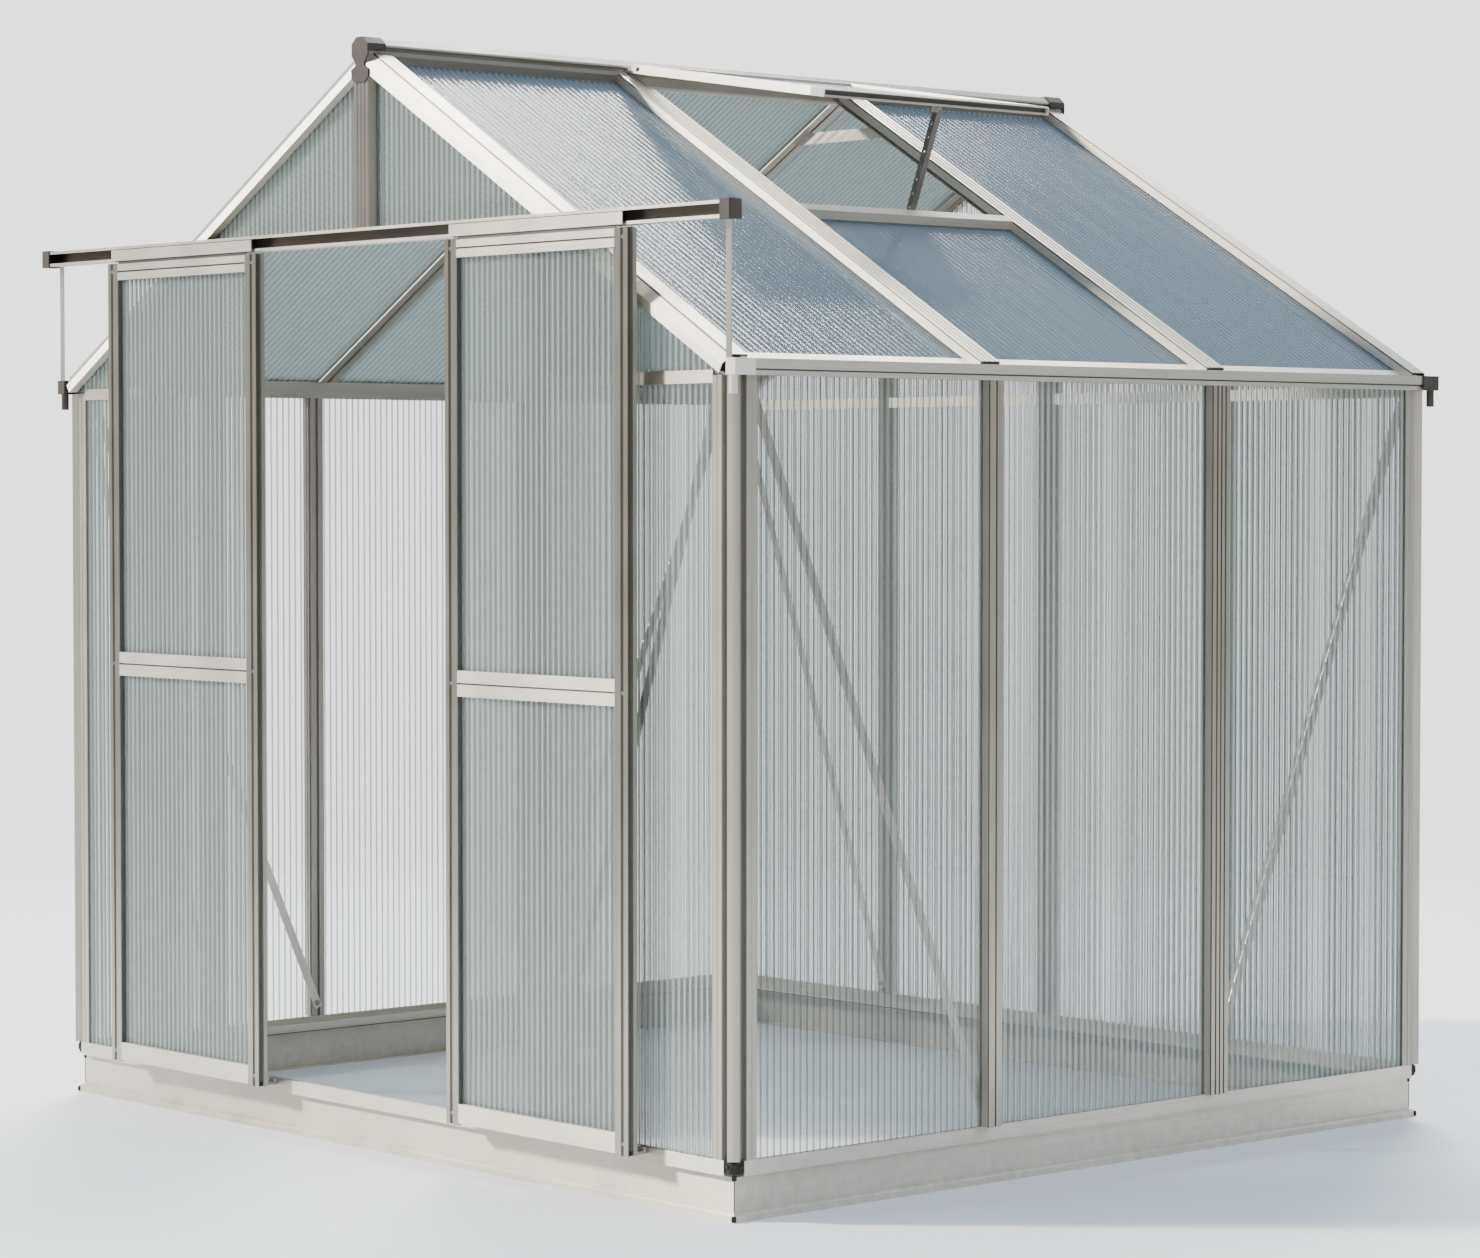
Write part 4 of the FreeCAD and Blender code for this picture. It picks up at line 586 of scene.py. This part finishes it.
def clear_sheet_material():
    """Clear plastic: nearly see-through between ribs, smoky grey on them, hazed in faint streaks, and less
    see-through where it is looked along. A face that is turned up has a painted sky reflection, with cool
    cells between broader ribs. A finish is the edge of its ribs, then colour and cover of a cell and of a
    rib."""
    material, tree, shader = new_material("twin_wall_sheet")
    mirror = add_node(tree, "ShaderNodeLayerWeight", {"Blend": 0.25}).outputs["Fresnel"]
    turned = add_node(tree, "ShaderNodeSeparateXYZ",
                      {"Vector": add_node(tree, "ShaderNodeNewGeometry").outputs["Normal"]})
    upward = add_node(tree, "ShaderNodeMapRange", {"Value": turned.outputs["Z"], "From Min": 0.2,
                                                  "From Max": 0.5}).outputs[0]
    tones, covers = [], []
    for edge, cell_tint, cell_cover, rib_tint, rib_cover in (clear_finish, sky_reflection_finish):
        cell = add_node(tree, "ShaderNodeGroup", {"Edge": edge}, node_tree=twin_wall)
        tones.append(mix_colours(tree, cell.outputs["Rib"], cell_tint, rib_tint))
        covers.append(add_node(tree, "ShaderNodeMapRange", {"Value": cell.outputs["Rib"],
                                                           "To Min": cell_cover,
                                                           "To Max": rib_cover}).outputs[0])
    tone = mix_colours(tree, upward, *tones)
    cover = add_node(tree, "ShaderNodeMix", {0: upward, 2: covers[0], 3: covers[1]})
    opaque = work_out(tree, "ADD", mirror, cover.outputs[0], clamp=True)
    gloss = add_node(tree, "ShaderNodeMapRange", {"Value": cell.outputs["Haze"], "From Min": 0.3,
                                                 "From Max": 0.7, "To Min": 0.08, "To Max": 0.22})
    tree.links.new(tone, shader.inputs["Base Color"])
    tree.links.new(opaque, shader.inputs["Alpha"])
    tree.links.new(gloss.outputs[0], shader.inputs["Roughness"])
    shader.inputs["IOR"].default_value = 1.58
    return material


twin_wall = twin_wall_group()
# Faces turned up get a painted sky reflection: a cool blue tint, broader ribs and denser cells.
clear_finish = (0.93, (0.54, 0.61, 0.59, 1.0), 0.06, (0.12, 0.135, 0.115, 1.0), 0.48)
sky_reflection_finish = (0.1, (0.36, 0.45, 0.52, 1.0), 0.12, (0.10, 0.135, 0.17, 1.0), 0.36)
clear_sheet = clear_sheet_material()
bar_place = 2 * half_length / 6
post_place = 0.54
slot_half = 0.0083
gable_edge_level = 0.0052
gable_rise = apex + gable_edge_level / math.cos(roof_pitch)


def along_bays(low, high):
    """The three stretches of a side wall or roof slope between its end slots and its two bars."""
    return [(low, middle - bar_place - slot_half),
            (middle - bar_place + slot_half, middle + bar_place - slot_half),
            (middle + bar_place + slot_half, high)]


def side_sheets(node, side):
    """The sheets of a side wall: upright rectangles in the three bays, facing out."""
    low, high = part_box(node)
    x = (low.x + high.x) / 2
    return [((x, start, low.z), (x, end, low.z), (x, start, high.z), (x, end, high.z), (side, 0, 0))
            for start, end in along_bays(low.y, high.y)]


def end_sheets(node, facing, bays):
    """Sheets of a gable wall on both sides of the middle: each bay has two edges, a foot and a head, and a
    head of None follows the underside of the gable rafter."""
    low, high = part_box(node)
    y = (low.y + high.y) / 2
    made = []
    for near, far, foot, head in bays:
        heads = [gable_rise - edge * math.tan(roof_pitch) if head is None else head for edge in (near, far)]
        for side in (1, -1):
            made.append(((side * near, y, foot), (side * far, y, foot), (side * near, y, heads[0]),
                         (side * far, y, heads[1]), (0, facing, 0)))
    return made


def on_slope(along, out):
    """Distance from the middle and height of a point given along the right roof slope and out of it."""
    return (along * math.cos(roof_pitch) + out * math.sin(roof_pitch),
            apex - along * math.sin(roof_pitch) + out * math.cos(roof_pitch))


def slope_sheets(node, side, tops):
    """The sheets of one roof slope: each runs from its top, given along the slope, down to the gutter."""
    low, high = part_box(node)
    made = []
    for top, (start, end) in zip(tops, along_bays(low.y, high.y)):
        reach, height = on_slope(roof_foot, sheet_level)
        head_reach, head_height = on_slope(top, sheet_level)
        made.append(((side * reach, start, height), (side * reach, end, height),
                     (side * head_reach, start, head_height), (side * head_reach, end, head_height),
                     (side * slope_out[0], 0, slope_out[2])))
    return made


roof_foot = 1.24702
roof_head = 0.0103
vent_foot_line = 0.60633
sheet_level = 0.0107
low_foot, low_head = 0.0913, 1.5257
high_foot = 1.5343
door_foot = 1.8343
corner_slot, gable_slot, apex_slot = 1.0592, 1.0555, 0.0123
outer_bay = (post_place + slot_half, corner_slot)
gable_bay = (post_place + slot_half, gable_slot)
inner_bay = (slot_half, post_place - slot_half)
upper_inner_bay = (apex_slot, post_place - slot_half)

sheet_piece("right_wall_panels", "right_wall_sheets", "frame", side_sheets("right_wall_sheets", 1))
sheet_piece("left_wall_panels", "left_wall_sheets", "frame", side_sheets("left_wall_sheets", -1))
sheet_piece("front_wall_panels", "front_wall_sheets", "frame",
            end_sheets("front_wall_sheets", -1, [(*outer_bay, low_foot, low_head)]))
sheet_piece("front_gable_panels", "front_gable_sheets", "frame",
            end_sheets("front_gable_sheets", -1, [(*gable_bay, high_foot, None),
                                                  (*upper_inner_bay, door_foot, None)]))
sheet_piece("rear_wall_panels", "rear_wall_sheets", "frame",
            end_sheets("rear_wall_sheets", 1, [(*outer_bay, low_foot, low_head),
                                               (*inner_bay, low_foot, low_head)]))
sheet_piece("rear_gable_panels", "rear_gable_sheets", "frame",
            end_sheets("rear_gable_sheets", 1, [(*gable_bay, high_foot, None),
                                                (*upper_inner_bay, high_foot, None)]))
sheet_piece("right_roof_panels", "right_roof_sheets", "frame",
            slope_sheets("right_roof_sheets", 1, (roof_head, vent_foot_line, roof_head)))
sheet_piece("left_roof_panels", "left_roof_sheets", "frame",
            slope_sheets("left_roof_sheets", -1, (roof_head, roof_head, roof_head)))


# Foot strips: thin angles over the lower edges of the roof sheets, one in each bay, bright above the gutter.
# Bent from bare aluminium strip, pushed onto the sheet and cut to end beside the rafters.
# Each is one angle section, a leaf on the sheet and a lip before its edge, carried along the eaves.
leaf_width, leaf_thick = 0.043, 0.0012
lip_clear, lip_out, lip_drop = 0.0004, 0.0016, 0.0045
leaf_clear, strip_gap = 0.0001, 0.001
leaf_under = sheet_level + sheet_depth / 2 + leaf_clear
bead_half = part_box("roof_rafters")[1].y - middle - bar_place + strip_gap
strip_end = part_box("rear_gable_rafters")[0].y - middle - strip_gap


def strip_skin(side, start, end):
    """An angle section of six points, given along the slope and out of it, carried straight from one place
    along the eaves to another. Both ends close on a point in the bend of the angle."""
    leaf_top, foot_edge = leaf_under + leaf_thick, roof_foot + lip_out
    section = np.array([(roof_foot - leaf_width, leaf_under), (roof_foot - leaf_width, leaf_top),
                        (foot_edge, leaf_top), (foot_edge, leaf_under - lip_drop),
                        (roof_foot + lip_clear, leaf_under - lip_drop), (roof_foot + lip_clear, leaf_under)])
    bend = np.full_like(section, (roof_foot + (lip_clear + lip_out) / 2, leaf_under + leaf_thick / 2))
    rings = np.stack([bend, section, section, bend])
    reach, height = on_slope(rings[..., 0], rings[..., 1])
    place = np.array([start, start, end, end])[:, None] + 0 * reach
    return np.stack([side * reach, place, height], axis=-1)


# The foot strips take the lighter tones: painted light.
foot_strip_metal = aluminium("foot_strip_metal", down_slope, None, *lit_metal_tones)
strip_runs = ((-strip_end, -bar_place - bead_half), (bead_half - bar_place, bar_place - bead_half),
              (bar_place + bead_half, strip_end))
plug_piece("roof_foot_strips", "frame", foot_strip_metal,
           [strip_skin(side, middle + start, middle + end) for side in (1, -1) for start, end in strip_runs])


# Vent: a framed twin-wall sheet that hinges in the ridge and stands open on its stay.
# Extruded aluminium rails round the sheet; the lower one has painted shade in its channel and pale plastic
# end caps.
# The rails keep the shape of the CAD nodes; the sheet is ribbed down the slope.
pale_plastic = plastic("pale_plastic_skin", (0.58, 0.57, 0.54, 1), (0.72, 0.71, 0.68, 1), 0.36)
hinge_reach, hinge_level = 0.0203, 2.198
vent_open = math.radians(21.4)
vent_tilt = roof_pitch - vent_open
vent_head, vent_foot = 0.0303, 0.5867
vent_pane_level = 0.005
vent_pane_half = 0.2937
channel_along = (0.609, 0.6165)
channel_out = (0.0003, 0.010)
channel_fade = 0.0006
vent_down = (math.cos(vent_tilt), 0.0, -math.sin(vent_tilt))
vent_out = (math.sin(vent_tilt), 0.0, math.cos(vent_tilt))
hinge_along = hinge_reach * vent_down[0] + hinge_level * vent_down[2]
hinge_out = hinge_reach * vent_out[0] + hinge_level * vent_out[2]
# The channel of the vent's lower rail is darkened with painted shade.
vent_rail_metal = aluminium("vent_rail_metal", along_y,
                            (hollow_shade, {"First Way": vent_down,
                                            "First Low": hinge_along + channel_along[0] - channel_fade,
                                            "First High": hinge_along + channel_along[1],
                                            "Second Way": vent_out, "Second Low": hinge_out + channel_out[0],
                                            "Second High": hinge_out + channel_out[1]}))
vent_metal = aluminium("vent_metal", ((0.0, -vent_tilt, 0.0), along_x[1], vent_down))
dress(vent_metal, "vent_side_rails")
dress(vent_rail_metal, "vent_bottom_rail")
dress(length_metal, "vent_top_rail", "vent_sill")
dress(pale_plastic, "vent_rail_caps")


def on_vent(along, out):
    """Distance from the middle and height of a point given along the vent from its hinge and out of it."""
    return (hinge_reach + along * vent_down[0] + out * vent_out[0],
            hinge_level + along * vent_down[2] + out * vent_out[2])


foot_reach, foot_height = on_vent(vent_foot, vent_pane_level)
head_reach, head_height = on_vent(vent_head, vent_pane_level)
sheet_piece("vent_panel", "vent_sheet_panel", "vent",
            [((foot_reach, middle - vent_pane_half, foot_height),
              (foot_reach, middle + vent_pane_half, foot_height),
              (head_reach, middle - vent_pane_half, head_height),
              (head_reach, middle + vent_pane_half, head_height), vent_out)])


# Vent stay and its guide: a drilled bar that hangs from the vent's lower rail and drops through the guide.
# The bar is aluminium painted dark all over as painted shade; the guide on the sill is a bent strip with a
# slot for it.
# They keep the shape of the CAD nodes.
# The stay's dark tones are painted shade: the same aluminium made dark all over.
shaded_stay_tones = ((0.20, 0.195, 0.185, 1.0), (0.08, 0.077, 0.072, 1.0))
stay_metal = aluminium("stay_metal", along_z, None, *shaded_stay_tones)
dress(stay_metal, "vent_stay")
dress(length_metal, "stay_guide")


# Doors: two framed leaves that hang from rollers in the track and slide apart.
# Extruded aluminium stiles and rails round two twin-wall sheets each, screwed together through the stiles'
# sunk strips, with grey guides and black plugs at the foot. The frames keep the shape of the CAD nodes.
leaf_low = (0.1293, 0.9367)
leaf_high = (0.9673, 1.7797)
strip_middle = 0.0155
strip_depth = 0.002
screw_heights = (0.120, 0.952, 1.788)
screw_sink, screw_half, screw_depth = 0.001, 0.0036, 0.0026
plug_back, plug_up, plug_in = 0.0083, 0.0052, 0.0062
plug_half, plug_depth = 0.0042, 0.0046
door_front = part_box("left_door_stiles")[0].y
# The stiles' sunk strips and the rails' recess are darkened with painted shade.
stile_shade = (door_front + 0.0014, door_front + 0.0142)
rail_shade = (door_front + 0.0012, door_front + 0.0053)
stile_recess_shade = (0.075, 0.078, 0.08, 1.0)
stile_metal = aluminium("stile_metal", along_z,
                        (hollow_shade, {"First Way": (0.0, 1.0, 0.0), "First Low": stile_shade[0],
                                        "First High": stile_shade[1], **everywhere}),
                        *shaded_upright_tones, stile_recess_shade)
door_rail_metal = aluminium("door_rail_metal", along_x,
                            (hollow_shade, {"First Way": (0.0, 1.0, 0.0), "First Low": rail_shade[0],
                                            "First High": rail_shade[1], **everywhere}))
grey_plastic = plastic("grey_plastic_skin", (0.20, 0.195, 0.18, 1), (0.30, 0.29, 0.27, 1), 0.45)
for side in ("left", "right"):
    low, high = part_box(f"{side}_door_sheets")
    y = (low.y + high.y) / 2
    sheet_piece(f"{side}_door_panels", f"{side}_door_sheets", f"{side}_door",
                [((low.x, y, foot), (high.x, y, foot), (low.x, y, head), (high.x, y, head), (0, -1, 0))
                 for foot, head in (leaf_low, leaf_high)])
    stile_low, stile_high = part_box(f"{side}_door_stiles")
    screw_skins = [plug_skin((x, door_front + strip_depth + screw_sink, height), (0, -1, 0), straight_up,
                             screw_half, screw_half, screw_depth, power=2, sides=16)
                   for x in (stile_low.x + strip_middle, stile_high.x - strip_middle)
                   for height in screw_heights]
    plug_piece(f"{side}_door_screws", f"{side}_door", bolt_metal, screw_skins)
    foot_skins = [plug_skin((x, door_front + plug_back, stile_low.z + plug_up), (way, 0, 0), straight_up,
                            plug_half, plug_half, plug_depth, power=3)
                  for x, way in ((stile_low.x + plug_in, -1), (stile_high.x - plug_in, 1))]
    plug_piece(f"{side}_stile_plugs", f"{side}_door", black_plastic, foot_skins)
    dress(stile_metal, f"{side}_door_stiles")
    dress(door_rail_metal, f"{side}_door_top_rail", f"{side}_door_cross_rails")
    dress(grey_plastic, f"{side}_door_guides")
    dress(pale_plastic, f"{side}_outer_roller", f"{side}_inner_roller")


# Floor: a plain pale studio floor under the house.
# Matt painted board, one wide level surface at the height of the base's foot.
# It is a grid whose height is zero everywhere, and it fades out into the room with distance.
floor_full, floor_reach = 3.0, 7.0
floor_count = 25
floor_steps = np.linspace(-floor_reach, floor_reach, floor_count)
grid_x, grid_y = np.meshgrid(floor_steps, floor_steps, indexing="ij")
floor_points = np.stack([grid_x, grid_y, grid_x * 0], axis=-1).reshape(-1, 3)
floor_index = np.arange(floor_count * floor_count).reshape(floor_count, floor_count)
floor_faces = np.stack([floor_index[:-1, :-1], floor_index[1:, :-1], floor_index[1:, 1:],
                        floor_index[:-1, 1:]], axis=-1).reshape(-1, 4)
floor_mesh = bpy.data.meshes.new("studio_floor")
floor_mesh.from_pydata(floor_points, [], floor_faces)
floor = link_object("studio_floor", floor_mesh)
floor_paint, floor_tree, floor_shader = new_material("floor_paint")
floor_place = add_node(floor_tree, "ShaderNodeTexCoord").outputs["Object"]
floor_cloud = add_node(floor_tree, "ShaderNodeTexNoise", {"Vector": floor_place, "Scale": 1.4,
                                                         "Detail": 4.0})
floor_dull, floor_clear = (0.80, 0.81, 0.82, 1.0), (0.84, 0.85, 0.86, 1.0)
floor_tone = mix_colours(floor_tree, floor_cloud.outputs["Fac"], floor_dull, floor_clear)
floor_tree.links.new(floor_tone, floor_shader.inputs["Base Color"])
floor_far = add_node(floor_tree, "ShaderNodeVectorMath", {0: floor_place}, operation="LENGTH")
floor_fade = add_node(floor_tree, "ShaderNodeMapRange", {"Value": floor_far.outputs["Value"],
                                                        "From Min": floor_full, "From Max": floor_reach,
                                                        "To Min": 1.0, "To Max": 0.0},
                      interpolation_type="SMOOTHSTEP")
floor_tree.links.new(floor_fade.outputs[0], floor_shader.inputs["Alpha"])
floor_shader.inputs["Roughness"].default_value = 0.8
floor_mesh.materials.append(floor_paint)


# Light: a softened sun from the upper left of the front, in a room with a pale blue ceiling and dim walls.
# A bright panel high at the back left shines along the roof, and a weaker one stands behind the camera.
# The wall that the camera sees behind the house is as bright as the floor.
sun = bpy.data.lights.new("soft_sun", "SUN")
sun.energy = 7.5
sun.angle = math.radians(6.0)
sun.color = (1.0, 0.95, 0.87)
sun_holder = link_object("soft_sun", sun)
sun_holder.rotation_mode = "QUATERNION"
sun_way = Vector((0.60, 0.63, -0.49))
sun_holder.rotation_quaternion = sun_way.to_track_quat("-Z", "Y")
room = bpy.data.worlds.new("studio_room")
room.use_nodes = True
bpy.context.scene.world = room
room_tree = room.node_tree
direction = add_node(room_tree, "ShaderNodeTexCoord").outputs["Generated"]
ways = add_node(room_tree, "ShaderNodeSeparateXYZ", {"Vector": direction})
shade = add_node(room_tree, "ShaderNodeMapRange", {"Value": ways.outputs["X"], "From Min": -0.5,
                                                  "From Max": 0.8}, interpolation_type="SMOOTHSTEP")
wall_left, wall_right = (0.42, 0.41, 0.37, 1.0), (0.33, 0.33, 0.30, 1.0)
walls = mix_colours(room_tree, shade.outputs[0], wall_left, wall_right)
lift = add_node(room_tree, "ShaderNodeMapRange", {"Value": ways.outputs["Z"], "From Min": 0.06,
                                                 "From Max": 0.42}, interpolation_type="SMOOTHSTEP")
ceiling = (0.76, 0.92, 1.10, 1.0)
room_tone = mix_colours(room_tree, lift.outputs[0], walls, ceiling)
roof_panel = ((-0.500, 0.488, 0.715), 0.970, (26.0, 25.2, 24.0, 1.0))
camera_panel = ((0.749, -0.662, 0.05), 0.80, (0.95, 0.94, 0.90, 1.0))
for facing, edge, tone in (roof_panel, camera_panel):
    near = add_node(room_tree, "ShaderNodeVectorMath", {0: direction, 1: facing}, operation="DOT_PRODUCT")
    panel = add_node(room_tree, "ShaderNodeMapRange", {"Value": near.outputs["Value"], "From Min": edge,
                                                      "From Max": 0.5 + edge / 2},
                     interpolation_type="SMOOTHSTEP")
    room_tone = mix_colours(room_tree, panel.outputs[0], room_tone, tone)
lighting = room_tree.nodes["Background"]
lighting.inputs["Strength"].default_value = 1.35
room_tree.links.new(room_tone, lighting.inputs["Color"])
backdrop = add_node(room_tree, "ShaderNodeBackground", {"Color": (0.97, 0.98, 1.0, 1.0), "Strength": 2.4})
seen = add_node(room_tree, "ShaderNodeLightPath").outputs["Is Camera Ray"]
both = add_node(room_tree, "ShaderNodeMixShader", {0: seen, 1: lighting.outputs[0], 2: backdrop.outputs[0]})
room_tree.links.new(both.outputs[0], room_tree.nodes["World Output"].inputs["Surface"])


# Camera: stands where the photo was taken from, right of the front and a little below the eaves.
# Turned by its azimuth and elevation round the house, with a long lens.
camera_azimuth = math.radians(48.527)
camera_lift = math.radians(2.003)
backward = Vector((math.sin(camera_azimuth) * math.cos(camera_lift),
                   -math.cos(camera_azimuth) * math.cos(camera_lift), math.sin(camera_lift)))
lens = bpy.data.cameras.new("photo_camera")
lens.lens = 100.707
lens.sensor_width = 36.0
lens.sensor_fit = "HORIZONTAL"
lens.shift_x = -0.0023
camera = link_object("photo_camera", lens)
camera.location = (6.6787, -5.86065, 1.3355)
camera.rotation_mode = "QUATERNION"
camera.rotation_quaternion = (-backward).to_track_quat("-Z", "Y")
bpy.context.scene.camera = camera
